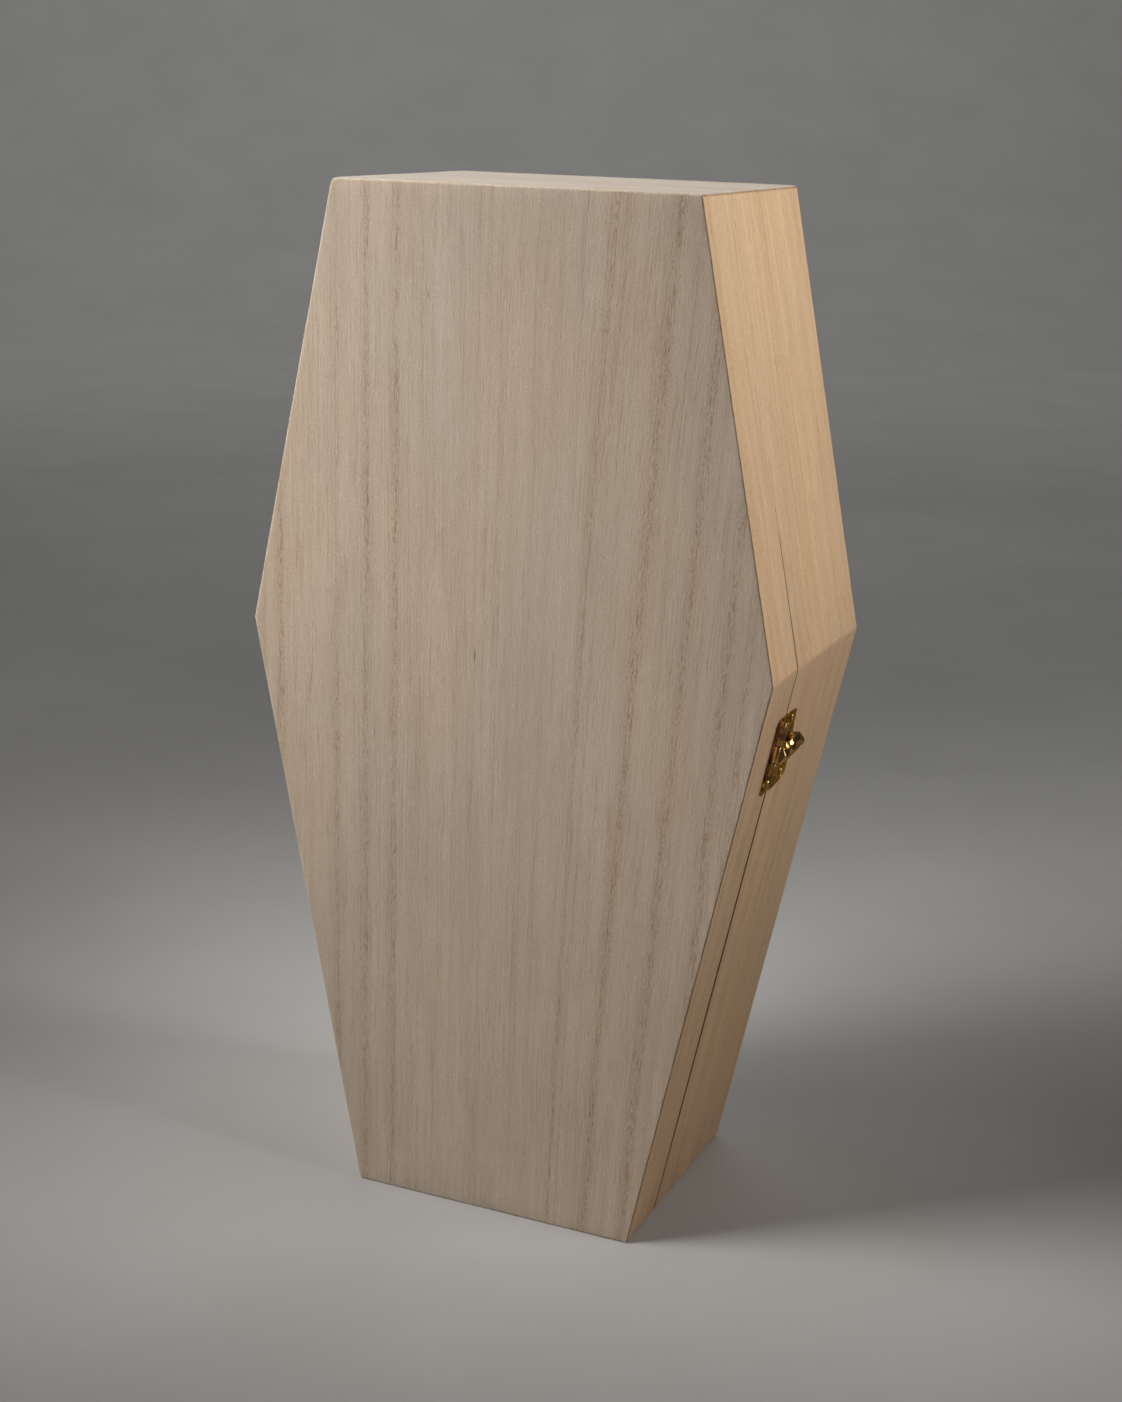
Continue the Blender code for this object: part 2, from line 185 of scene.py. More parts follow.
# ---------------------------------------------------------------- wood
# The face board's growth streaks: place across the board in mm, depth, and half width in mm.
FACE_STREAKS = (
    (-76.5, 0.35, 1.6), (-70.8, 0.70, 1.5), (-65.6, 0.25, 1.2), (-60.5, 0.32, 1.2), (-52.0, 0.50, 1.8), (-42.5, 0.72, 1.7),
    (-33.2, 0.70, 1.4), (-28.6, 0.22, 0.9), (-25.0, 0.32, 0.9), (-21.8, 0.18, 0.8), (-17.5, 0.14, 0.8), (-13.4, 0.16, 0.7),
    (-8.0, 0.24, 0.8), (-5.0, 0.22, 0.7), (-1.0, 0.26, 0.8), (4.0, 0.20, 0.9), (10.0, 0.22, 1.0), (17.5, 0.20, 1.2),
    (31.2, 0.55, 1.3), (34.6, 0.40, 1.2), (40.8, 0.18, 1.2), (48.8, 0.95, 2.2), (56.4, 0.25, 1.4), (62.8, 0.75, 1.9),
    (67.4, 0.32, 1.1), (75.0, 0.66, 2.0), (81.2, 0.50, 1.8), (88.0, 0.40, 1.6),
)


def streak_curve(streaks, low, high, narrow=1.0, count=240):
    points = []
    for k in range(count + 1):
        x = low + (high - low) * k / count
        # each streak darkens further on its left than on its right: the streak itself is the board's own growth, the
        # wider left skirt is painted shade of the hollow beside it
        y = sum(d * math.exp(-((x - c) / (w * narrow)) ** 2 * (1.0 if x > c or narrow < 1 else 0.45)) for c, d, w in streaks)
        points.append((k / count, min(1.0, y)))
    return points


def wood(name, along, across, seed, light, dark, streaks=None, contrast=1.0, flecks=(), edges="side", shade=0.0, relief=0.00025, band=1.0, crisp=False, side_number=0):
    """Straight-grained unfinished wood. along and across are the board's own directions; distances in the graph are mm."""
    g = Graph(name)
    along, across = Vector(along).normalized(), Vector(across).normalized()
    normal = along.cross(across)
    place = g.node("TexCoord").outputs["Object"]
    a = g.dot(place, tuple(along * 1000))
    c = g.dot(place, tuple(across * 1000))
    n = g.dot(place, tuple(normal * 1000))
    a0, c0 = g.add(a, seed * 137.0), g.add(c, seed * 61.0)
    n0 = g.add(n, seed * 17.0)

    def field(sc, sa, sn=0.1, detail=2.0, rough=0.5, cc=None, shift=0.0, distortion=0.0):
        return g.noise(g.xyz(g.mul(cc or c0, sc), g.add(g.mul(a0, sa), shift), g.mul(n0, sn)), detail, rough, distortion)

    # the grain wanders a little along the board
    wander = g.mul(g.m("SUBTRACT", field(0.02, 0.008, 0.02, 1.0), 0.5), 3.0 if streaks else 7.0)
    wander = g.add(wander, g.mul(g.m("SUBTRACT", field(0.11, 0.035, 0.1, 2.0, shift=7.0), 0.5), 1.3))
    jitter = g.mul(g.m("SUBTRACT", field(0.5, 0.42, 0.3, 3.0, 0.65, shift=3.0), 0.5), 0.75)
    c1 = g.add(c0, g.add(wander, jitter))
    if streaks:
        # the right part of the board's grain leans, so its streaks lie nearer the middle at the foot
        lean = g.mul(g.mul(g.m("SUBTRACT", 300.0, a), 0.068), g.range(c, -10.0, 40.0))
        r = g.add(g.add(c, lean), g.add(g.mul(wander, 0.55), jitter))
        low, high = -84.0, 100.0
        place_in_board = g.range(r, low, high, kind="LINEAR")
        ring = g.curve(place_in_board, streak_curve(streaks, low, high))
        core = g.curve(place_in_board, streak_curve(streaks, low, high, 0.42))
        across_grain = r
    else:
        bands = field(0.085, 0.0022, 0.05, 1.5, 0.6, cc=c1, shift=11.0)
        ring = g.range(bands, 0.47, 0.72, 0.0, 0.85)
        core = g.range(g.m("ABSOLUTE", g.m("SUBTRACT", bands, 0.60)), 0.0, 0.022, 0.7, 0.0)
        across_grain = c1
    strength = g.range(field(0.05, 0.012, 0.05, 2.0, shift=23.0), 0.25, 0.75, 0.62, 1.15)
    ring, core = g.mul(ring, g.mul(strength, band)), g.mul(core, g.mul(strength, band))
    # fine growth lines, fibres and pores
    lines = g.range(field(0.62, 0.0045, 0.2, 2.0, 0.55, cc=across_grain, shift=31.0), 0.36, 0.68)
    fine = field(1.7, 0.045, 0.5, 3.0, 0.6, cc=across_grain, shift=41.0)
    strand = field(1.25, 0.21, 0.4, 3.0, 0.62, cc=across_grain, shift=47.0)
    fibre = field(3.4, 0.42, 1.2, 3.0, 0.65, cc=across_grain, shift=51.0)
    # thin brown threads, a millimetre or two apart, that fade in and out along the board
    thread = g.m("ABSOLUTE", g.m("SUBTRACT", field(0.62, 0.016, 0.2, 2.0, 0.5, cc=across_grain, shift=55.0), 0.5))
    thread = g.range(thread, 0.004, 0.050, 1.0, 0.0)
    thread = g.mul(thread, g.range(field(0.42, 0.050, 0.3, 2.0, 0.6, shift=58.0), 0.38, 0.66))
    pores = g.range(field(2.7, 0.24, 0.8, 2.0, 0.6, cc=across_grain, shift=61.0), 0.58, 0.68)
    pore_mask = g.add(0.14, g.mul(core, 1.5))
    pores = g.mul(pores, g.m("MINIMUM", pore_mask, 1.0))
    # close, nearly regular fine lines
    comb = g.m("SINE", g.add(g.mul(across_grain, 5.9), g.mul(field(0.35, 0.012, 0.2, 2.0, 0.5, cc=across_grain, shift=62.0), 11.0)))
    comb = g.mul(g.range(comb, 0.25, 1.0), g.range(field(0.25, 0.03, 0.2, 2.0, 0.6, shift=63.0), 0.35, 0.65, 0.3, 1.0))
    # along the middle of a streak the soft wood has broken into short wavy cracks
    in_streak = g.range(core, 0.10, 0.42)
    crackle = g.m("ABSOLUTE", g.m("SUBTRACT", field(1.3, 0.24, 0.3, 2.0, 0.6, cc=across_grain, shift=65.0, distortion=0.4), 0.5))
    crackle = g.range(crackle, 0.008, 0.050, 1.0, 0.0)
    crackle = g.mul(g.mul(crackle, in_streak), g.range(field(0.55, 0.26, 0.3, 2.0, 0.6, shift=68.0), 0.42, 0.58))
    scallop = g.range(field(1.6, 0.55, 0.5, 2.0, 0.6, cc=across_grain, shift=71.0), 0.50, 0.66)
    scallop = g.mul(scallop, g.range(ring, 0.16, 0.55))
    # short raised fibres that lie aslant, and a few pale specks of torn ones
    slant = g.xyz(g.mul(g.add(c0, g.mul(a0, 0.40)), 1.9), g.mul(g.m("SUBTRACT", a0, g.mul(c0, 0.40)), 0.36), g.mul(n0, 0.6))
    aslant = g.noise(slant, 3.0, 0.65)
    fuzz = g.range(aslant, 0.60, 0.72)
    specks = g.range(field(1.9, 0.85, 0.8, 2.0, 0.55, shift=77.0), 0.67, 0.74)
    pebble = g.noise(g.xyz(g.mul(c0, 2.3), g.mul(a0, 1.5), g.mul(n0, 1.5)), 2.0, 0.6)
    blotch = field(0.028, 0.012, 0.03, 3.0, 0.55, shift=83.0)
    mottle = g.noise(g.xyz(g.mul(c0, 0.32), g.mul(a0, 0.11), g.mul(n0, 0.2)), 3.0, 0.6)

    k = contrast
    depth = g.add(0.10, g.add(g.mul(ring, 0.21 * k), g.mul(lines, (0.06 if streaks else 0.13) * k)))
    depth = g.add(depth, g.mul(comb, 0.12 * k))
    depth = g.add(depth, g.mul(g.m("SUBTRACT", fine, 0.5), 0.26 * k))
    depth = g.add(depth, g.mul(g.m("SUBTRACT", strand, 0.5), 0.14 * k))
    depth = g.add(depth, g.mul(g.m("SUBTRACT", fibre, 0.5), 0.52 * k))
    depth = g.add(depth, g.mul(g.m("SUBTRACT", pebble, 0.5), 0.60 * k))
    depth = g.add(depth, g.mul(thread, 0.20 * k))
    depth = g.add(depth, g.mul(pores, 0.26 * k))
    depth = g.add(depth, g.mul(crackle, 0.15 * k))
    depth = g.add(depth, g.mul(scallop, 0.10 * k))
    depth = g.add(depth, g.mul(g.m("SUBTRACT", mottle, 0.5), 0.14 * k))
    depth = g.m("MULTIPLY", depth, 1.0, clamp=True)
    colour = g.mix(depth, light, dark)
    rust = tuple(x * y for x, y in zip(dark[:3], (0.95, 0.80, 0.58))) + (1.0,)
    colour = g.mix(g.m("MINIMUM", g.mul(g.add(crackle, g.mul(pores, 0.6)), 0.28 * k), 1.0), colour, rust)
    # a cooler, greyer band here and a pinker one there
    grey = tuple(x * y for x, y in zip(light[:3], (0.955, 0.97, 0.985))) + (1.0,)
    pink = tuple(x * y for x, y in zip(light[:3], (1.02, 0.99, 0.965))) + (1.0,)
    hue = g.mix(g.range(blotch, 0.33, 0.67), grey, pink)
    hue_only = g.mix(1.0, hue, tuple(1.0 / x for x in light[:3]) + (1.0,), "MULTIPLY")
    colour = g.mix(1.0, colour, hue_only, "MULTIPLY")
    sheen = g.range(g.noise(g.xyz(g.mul(across_grain, 0.12), g.add(g.mul(a0, 0.017), g.mul(c0, 0.02)), g.mul(n0, 0.03)), 3.0, 0.62), 0.34, 0.66, 0.0, 0.16 * k)
    colour = g.mix(sheen, colour, g.mix(0.5, dark, tuple(0.55 * q for q in light[:3]) + (1.0,)))
    colour = g.mix(g.mul(fuzz, 0.10 * k), colour, tuple(min(1.0, x * 1.30) for x in light[:3]) + (1.0,))
    colour = g.mix(g.mul(specks, 0.34 * k), colour, tuple(min(1.0, x * 1.42) for x in light[:3]) + (1.0,))
    # wear along the edges; further down, the right-hand arris is darkened instead, painted shade for an edge that faces
    # away from the lamps
    x, y, z = g.node("SeparateXYZ", place).outputs
    if edges == "face":
        far, right_edge = None, None
        for i in range(6):
            plane = (OUTWARD[i].x * 1000, 0.0, OUTWARD[i].y * 1000)
            reach = OUTWARD[i].dot(OUTER[i]) * 1000
            d = g.m("SUBTRACT", reach, g.dot(place, plane))
            if i < 2:
                right_edge = d if right_edge is None else g.m("MINIMUM", right_edge, d)
            far = d if far is None else g.m("SMOOTH_MIN", far, d, 0.3)
        far = g.m("MAXIMUM", far, 0.0)
    else:
        front = g.mul(g.m("SUBTRACT", y, FRONT), 1000.0)
        rear = g.mul(g.m("SUBTRACT", BACK, y), 1000.0)
        seam = g.m("ABSOLUTE", g.mul(g.m("SUBTRACT", y, LID_SEAM + SEAM_GAP / 2), 1000.0))
        far = g.m("MINIMUM", g.m("MINIMUM", front, rear), g.m("SUBTRACT", seam, 0.3))
    rub = g.noise(g.xyz(g.mul(g.dot(place, (1, 0, 0)), 900.0), g.mul(y, 900.0), g.mul(z, 420.0)), 3.0, 0.6)
    worn = g.mul(g.range(far, 0.15, 1.0, 1.0, 0.0), g.range(rub, 0.40, 0.62))
    if edges == "face":
        worn = g.mul(worn, g.range(right_edge, 0.4, 1.4))
    colour = g.mix(g.mul(worn, 0.34), colour, tuple(min(1.0, q * w) for q, w in zip(light[:3], (1.16, 1.10, 1.00))) + (1.0,))
    # painted shade: a thin dark line along the face's crisp right-hand arris, standing for the shade of an edge that no
    # lamp reaches
    if edges == "face" and crisp:
        unlit_arris_shade = g.mul(g.range(right_edge, 0.25, 0.62, 1.0, 0.0), g.range(rub, 0.25, 0.6, 0.55, 0.95))
        colour = g.mix(unlit_arris_shade, colour, tuple(q * 0.30 for q in dark[:3]) + (1.0,))
    if edges == "side":
        # only the outer skin of the board carries the painted seam shadow, the painted arris shade and the painted seam
        # highlight: its meeting face and its inside stay clean
        plane = (OUTWARD[side_number].x * 1000, 0.0, OUTWARD[side_number].y * 1000)
        skin = g.range(g.m("SUBTRACT", OUTWARD[side_number].dot(OUTER[side_number]) * 1000, g.dot(place, plane)), 0.35, 0.95, 1.0, 0.0)
    # painted shade: the same unlit arris along the right-hand boards' front edge, and a dark mark in the top millimetre
    # near the head, in the outer skin only
    if edges == "side" and crisp:
        unlit_arris_shade = g.mul(g.range(front, 0.10, 0.45, 1.0, 0.0), 0.80)
        unlit_arris_shade = g.mul(g.m("MAXIMUM", unlit_arris_shade, g.mul(g.range(z, HEIGHT - 0.0011, HEIGHT - 0.0006), g.range(rub, 0.3, 0.6, 0.30, 0.62))), skin)
        colour = g.mix(unlit_arris_shade, colour, tuple(q * 0.36 for q in dark[:3]) + (1.0,))
    if edges == "side":
        # painted shadow: the box's edge beside the seam is darkened as far as SEAM_SHADE reaches, standing for the
        # shade in the gap; strong below 200 mm height, faint above 236 mm
        beyond = g.mul(g.m("SUBTRACT", y, LID_SEAM + SEAM_GAP / 2), 1000.0)
        reach = g.curve(g.range(z, 0.0, 0.3, kind="LINEAR"), SEAM_SHADE)
        line = g.range(g.m("SUBTRACT", beyond, g.mul(reach, 0.90)), 0.0, 0.22, 1.0, 0.0)
        line = g.mul(line, g.range(beyond, -0.55, -0.30))
        line = g.mul(g.mul(line, g.range(z, 0.200, 0.236, 0.92, 0.12)), skin)
        colour = g.mix(line, colour, tuple(q * w for q, w in zip(dark[:3], (0.20, 0.14, 0.09))) + (1.0,))
        # painted highlight: a paler band on the lid's rail beside the seam, standing for the light that its rounded
        # edge catches
        painted_seam_highlight = g.mul(g.range(beyond, -1.05, -0.75), g.range(beyond, -0.55, -0.40, 1.0, 0.0))
        colour = g.mix(g.mul(g.mul(painted_seam_highlight, 0.45), skin), colour, tuple(min(1.0, q * 1.22) for q in light[:3]) + (1.0,))
    for fc, fa, half_width, half_length, strong in flecks:
        dc = g.m("DIVIDE", g.m("SUBTRACT", g.add(c, g.mul(jitter, 0.5)), fc), half_width)
        da = g.m("DIVIDE", g.m("SUBTRACT", a, fa), half_length)
        spot = g.range(g.add(g.mul(dc, dc), g.mul(da, da)), 0.3, 1.2, 1.0, 0.0)
        colour = g.mix(g.mul(spot, strong), colour, tuple(q * w for q, w in zip(dark[:3], (0.42, 0.34, 0.28))) + (1.0,))
    # painted shade: the colour darkens evenly across the board towards its right-hand edge, standing for the light
    # falling off to the right
    if shade:
        colour = g.mix(g.range(c, -80.0, 80.0, 0.0, shade, kind="LINEAR"), colour, (0.0, 0.0, 0.0, 1.0))
    g.put(g.shader.inputs["Base Color"], colour)
    g.put(g.shader.inputs["Roughness"], g.range(g.add(g.mul(fine, 0.5), g.mul(ring, 0.35)), 0.1, 0.7, 0.56, 0.74, kind="LINEAR"))
    g.shader.inputs["Specular IOR Level"].default_value = 0.34
    height = g.add(g.mul(fibre, 0.24), g.add(g.mul(strand, 0.22), g.mul(fine, 0.10)))
    height = g.m("SUBTRACT", height, g.add(g.mul(pores, 0.16), g.mul(scallop, 0.16)))
    height = g.m("SUBTRACT", height, g.add(g.mul(ring, 0.10), g.add(g.mul(crackle, 0.16), g.mul(thread, 0.10))))
    height = g.add(height, g.add(g.mul(aslant, 0.22), g.mul(pebble, 0.30)))
    height = g.add(height, g.mul(specks, 0.08))
    bump = g.node("Bump")
    bump.inputs["Strength"].default_value = 1.0
    bump.inputs["Distance"].default_value = relief
    g.put(bump.inputs["Height"], height)
    g.put(g.shader.inputs["Normal"], bump.outputs[0])
    return g.mat


# how far the seam's shadow line reaches onto the box's edge, by height
SEAM_SHADE = ((0.0, 0.35), (0.12, 0.75), (0.30, 0.98), (0.45, 0.70), (0.55, 0.40), (0.68, 0.20), (0.78, 0.11), (1.0, 0.11))

FACE_LIGHT, FACE_DARK = rgb(212, 196, 177), rgb(160, 125, 93)
SIDE_LIGHT, SIDE_DARK = rgb(221, 191, 156), rgb(168, 121, 76)
PALE_LIGHT, PALE_DARK = rgb(222, 206, 188), rgb(170, 137, 107)
TOP_LIGHT, TOP_DARK = rgb(211, 201, 189), rgb(160, 136, 112)
# the lower right board's colours are a darker copy of the upper right's: painted shade for a side that faces a little
# downwards
LOWER_RIGHT_SHADED_LIGHT, LOWER_RIGHT_SHADED_DARK = rgb(210, 179, 145), rgb(159, 116, 75)

FACE_FLECKS = ((-23.8, 270.0, 0.16, 1.3, 0.75), (-8.0, 171.0, 0.22, 1.9, 0.8), (-39.8, 144.0, 0.15, 1.1, 0.6))
face_wood = wood("front_face_wood", (0, 0, 1), (1, 0, 0), 1.0, FACE_LIGHT, FACE_DARK, streaks=FACE_STREAKS, flecks=FACE_FLECKS, edges="face", shade=0.05, crisp=True)
back_wood = wood("back_face_wood", (0, 0, 1), (-1, 0, 0), 2.3, PALE_LIGHT, PALE_DARK, edges="face", contrast=0.9)
side_wood = {}
for number, side in enumerate(SIDES):
    d = ALONG[SIDES[side]]
    # the right-hand boards get warm honey colours and the hidden left-hand ones pale: partly the boards' own tone,
    # partly painted warm light from the right
    lit_right_board = "right" in side
    light, dark = (SIDE_LIGHT, SIDE_DARK) if lit_right_board else (TOP_LIGHT, TOP_DARK) if side == "head" else (PALE_LIGHT, PALE_DARK)
    if side == "lower_right":
        light, dark = LOWER_RIGHT_SHADED_LIGHT, LOWER_RIGHT_SHADED_DARK
    side_wood[side] = wood(side + "_wood", (d.x, 0, d.y), (0, 1, 0), 3.1 + number * 1.7, light, dark, contrast=1.15 if lit_right_board else 0.95, band=0.42 if lit_right_board else 0.7, crisp=lit_right_board, side_number=SIDES[side])


# ---------------------------------------------------------------- brass
def brass(name, seed, light=(0.80, 0.50, 0.17), dark=(0.15, 0.075, 0.02), rough=(0.08, 0.20), wear=0.75):
    g = Graph(name)
    place = g.node("TexCoord").outputs["Object"]
    mm = g.node("VectorMath", place, (1000.0, 1000.0, 1000.0), operation="MULTIPLY").outputs[0]
    moved = g.node("VectorMath", mm, (seed * 31.0, seed * 7.0, seed * 13.0), operation="ADD").outputs[0]
    half = g.node("VectorMath", moved, (0.55, 0.55, 0.55), operation="MULTIPLY").outputs[0]
    fine = g.node("VectorMath", moved, (3.2, 3.2, 3.2), operation="MULTIPLY").outputs[0]
    brushed = g.node("VectorMath", moved, (9.0, 9.0, 1.6), operation="MULTIPLY").outputs[0]
    cloud = g.noise(half, 4.0, 0.6)
    spots = g.noise(fine, 3.0, 0.6)
    strokes = g.noise(brushed, 2.0, 0.6)
    tarnish = g.mul(g.range(cloud, 0.42, 0.64), wear)
    tarnish = g.m("MAXIMUM", tarnish, g.mul(g.range(spots, 0.64, 0.74), 0.8 * wear))
    colour = g.mix(tarnish, light + (1.0,), dark + (1.0,))
    colour = g.mix(g.range(strokes, 0.35, 0.65, 0.0, 0.12), colour, (0.95, 0.70, 0.34, 1.0))
    g.put(g.shader.inputs["Base Color"], colour)
    g.shader.inputs["Metallic"].default_value = 1.0
    g.shader.inputs["Specular Tint"].default_value = (0.80, 0.50, 0.20, 1.0)
    g.put(g.shader.inputs["Roughness"], g.add(g.range(strokes, 0.3, 0.7, rough[0], rough[1]), g.mul(tarnish, 0.22)))
    bump = g.node("Bump")
    bump.inputs["Strength"].default_value = 0.35
    bump.inputs["Distance"].default_value = 0.00005
    g.put(bump.inputs["Height"], g.add(g.mul(strokes, 0.5), g.mul(spots, 0.4)))
    g.put(g.shader.inputs["Normal"], bump.outputs[0])
    return g.mat


# the clasp's plates get a darker brass than the other fittings, painted shade for the dark surroundings they reflect;
# the tongue's brighter brass is partly a painted highlight
clasp_brass_shaded = brass("clasp_brass_shaded", 1.0, light=(0.60, 0.385, 0.155), dark=(0.080, 0.045, 0.018), wear=0.9)
tongue_brass_lit = brass("tongue_brass_lit", 2.0, light=(0.92, 0.58, 0.24), dark=(0.20, 0.10, 0.03), rough=(0.06, 0.16), wear=0.5)
nail_brass = brass("nail_brass", 3.0, light=(0.90, 0.66, 0.30), rough=(0.12, 0.26), wear=0.35)
# a dark dull brass for a nail head's sunk middle: painted shade of the hollow
nail_hollow_shade = brass("nail_hollow_shade", 3.6, light=(0.30, 0.17, 0.06), dark=(0.04, 0.022, 0.008), rough=(0.25, 0.45), wear=0.9)
hinge_brass = brass("hinge_brass", 4.0, light=(0.80, 0.55, 0.22), wear=0.5)
pin_steel = brass("pin_brass", 5.0, light=(0.62, 0.46, 0.22), dark=(0.16, 0.10, 0.04), wear=0.7)


# ---------------------------------------------------------------- mesh helpers
def new_piece(node, bm, materials, body, matrix=None, angle=38):
    bmesh.ops.recalc_face_normals(bm, faces=bm.faces)
    mesh = bpy.data.meshes.new(node + "_detail")
    bm.to_mesh(mesh)
    bm.free()
    if matrix is not None:
        mesh.transform(matrix)
    for face in mesh.polygons:
        face.use_smooth = True
    mesh.set_sharp_from_angle(angle=math.radians(angle))
    for material in materials:
        mesh.materials.append(material)
    obj = bpy.data.objects.new(node + "_detail", mesh)
    scene.collection.objects.link(obj)
    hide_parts(node)
    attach(obj, body)
    return obj


def n3(x, y, z):
    return noise.noise(Vector((x, y, z)))


def chip(side, s, edge):
    """How deep, in metres, an arris is nicked at distance s along a side; edge tells the arrises of one side apart."""
    k = side * 7.3 + edge * 3.1
    small = max(0.0, n3(s * 1100, k, 1.7) - 0.42) * 0.00020
    large = max(0.0, n3(s * 160, k, 9.2) - 0.50) * 0.00090
    return small + large * (0.6 + 0.4 * n3(s * 2300, k, 4.0))


def side_relief(side, s, y):
    """How far, in metres, a side's outer face lies below its plane."""
    k = side * 11.7
    soft = 0.5 + 0.5 * n3(s * 22, y * 60, k)
    grain = 0.5 + 0.5 * n3(s * 9, y * 700, k + 5)
    return 0.00003 + 0.00005 * soft + 0.000022 * grain


def rounded_outline(inset, arc=6, share=None):
    """The outline with its corners sanded round: for each corner arc + 1 points. share scales the inset side by side."""
    corners = outline(inset, share)
    made = []
    for i, corner in enumerate(corners):
        radius = max(CORNER_R[i] - inset, 0.00025)
        before, after, half = ALONG[i - 1], ALONG[i], TURN[i] / 2
        centre = corner + (after - before).normalized() * (radius / math.cos(half))
        start = -OUTWARD[i - 1]
        for k in range(arc + 1):
            angle = TURN[i] * k / arc
            ray = Vector((OUTWARD[i - 1].x * math.cos(angle) - OUTWARD[i - 1].y * math.sin(angle), OUTWARD[i - 1].x * math.sin(angle) + OUTWARD[i - 1].y * math.cos(angle)))
            made.append(centre + ray * radius)
    return made


def nearest_side(x, z):
    best = min(range(6), key=lambda i: OUTWARD[i].dot(OUTER[i] - Vector((x, z))))
    away = OUTWARD[best].dot(OUTER[best] - Vector((x, z)))
    return best, away, ALONG[best].dot(Vector((x, z)) - OUTER[best])


def face_relief(x, z, streaks):
    """How far the face lies below its plane: softer growth is sanded a little deeper, and the board isn't quite flat."""
    r = x * 1000
    lean = 0.068 * (300 - z * 1000) * smooth((r + 10) / 50)
    c = r + lean
    deep = sum(d * math.exp(-((c - q) / w) ** 2) for q, d, w in streaks if abs(c - q) < 6) if streaks else 0.5 + 0.5 * n3(x * 180, z * 4, 3.3)
    flat = 0.5 + 0.5 * n3(x * 16, z * 9, 7.7)
    ripple = 0.5 + 0.5 * n3(x * 520, z * 7, 1.1)
    return 0.00002 + 0.000045 * flat + 0.00003 * min(deep, 1.0) + 0.000018 * ripple


def panel_piece(node, body, y_face, y_inner, face_mat, inner_mat, arris, step_x, step_z, streaks=None):
    out = -1.0 if y_face < y_inner else 1.0
    bm = bmesh.new()
    rings = []
    segments = 5
    for k in range(segments + 1):
        turn = math.pi / 2 * k / segments
        shape = rounded_outline(arris * (1 - math.sin(turn)), share=ARRIS if out < 0 else None)
        y = y_face - out * arris * (1 - math.cos(turn))
        rings.append([bm.verts.new((p.x, y, p.y)) for p in shape])
    shape = rounded_outline(0.0)
    for y in (y_inner + out * 0.00012, y_inner):
        rings.append([bm.verts.new((p.x, y, p.y)) for p in rounded_outline(0.0)])
    count = len(shape)
    bm.faces.new(rings[0])
    for ring, following in zip(rings, rings[1:]):
        for k in range(count):
            n = (k + 1) % count
            bm.faces.new((ring[k], ring[n], following[n], following[k]))
    bm.faces.new(rings[-1])
    for axis, low, high, step in (((1, 0, 0), -SHOULDER_WIDTH / 2, SHOULDER_WIDTH / 2, step_x), ((0, 0, 1), 0.0, HEIGHT, step_z)):
        for k in range(1, int(round((high - low) / step))):
            at = low + (high - low) * k / int(round((high - low) / step))
            bmesh.ops.bisect_plane(bm, geom=bm.verts[:] + bm.edges[:] + bm.faces[:], plane_co=[c * at for c in axis], plane_no=axis, dist=2e-6)
    for v in bm.verts:
        x, y, z = v.co
        side, away, s = nearest_side(x, z)
        depth = (y_face - y) * out
        moved = Vector((0, 0, 0))
        if depth < arris * 0.9 + 1e-6:
            weight = 1 - smooth(depth / (arris * 0.9))
            moved += Vector((0, -out * face_relief(x, z, streaks) * weight, 0))
        if away < arris:
            weight = 1 - smooth(away / arris)
            inward = Vector((-OUTWARD[side].x, 0, -OUTWARD[side].y))
            moved += inward * side_relief(side, s, y) * weight
            nick = chip(side, s, 0 if out < 0 else 5)
            band = math.exp(-((depth - away) / (arris * 0.75)) ** 2) * (1 if depth < arris * 1.6 else 0)
            moved += (inward + Vector((0, -out, 0))) * nick * band
        v.co += moved
    for f in bm.faces:
        f.normal_update()
        centre = f.calc_center_median()
        depth = (y_face - centre.y) * out
        _, away, _ = nearest_side(centre.x, centre.z)
        if depth < arris * 0.72 and away > arris * 0.02 and abs(f.normal.y) > 0.60:
            f.material_index = 0
        elif abs(f.normal.y) > 0.7:
            f.material_index = 7
        else:
            f.material_index = 1 + nearest_side(centre.x, centre.z)[0]
    # a material for each side, in the order of the sides, so that the panel's edge carries on the board's own grain
    mats = [face_mat] + [side_wood[s] for s in SIDES] + [inner_mat]
    return new_piece(node, bm, mats, body)


# the seam is tight at the head, opens below the shoulder and closes again towards the foot: its width in mm by height
SEAM_WIDTH = ((0.0, 0.36), (0.030, 0.62), (0.080, 0.86), (0.125, 0.62), (0.1735, 0.46), (0.205, 0.26), (0.230, 0.05), (0.285, 0.03), (0.300, 0.09))


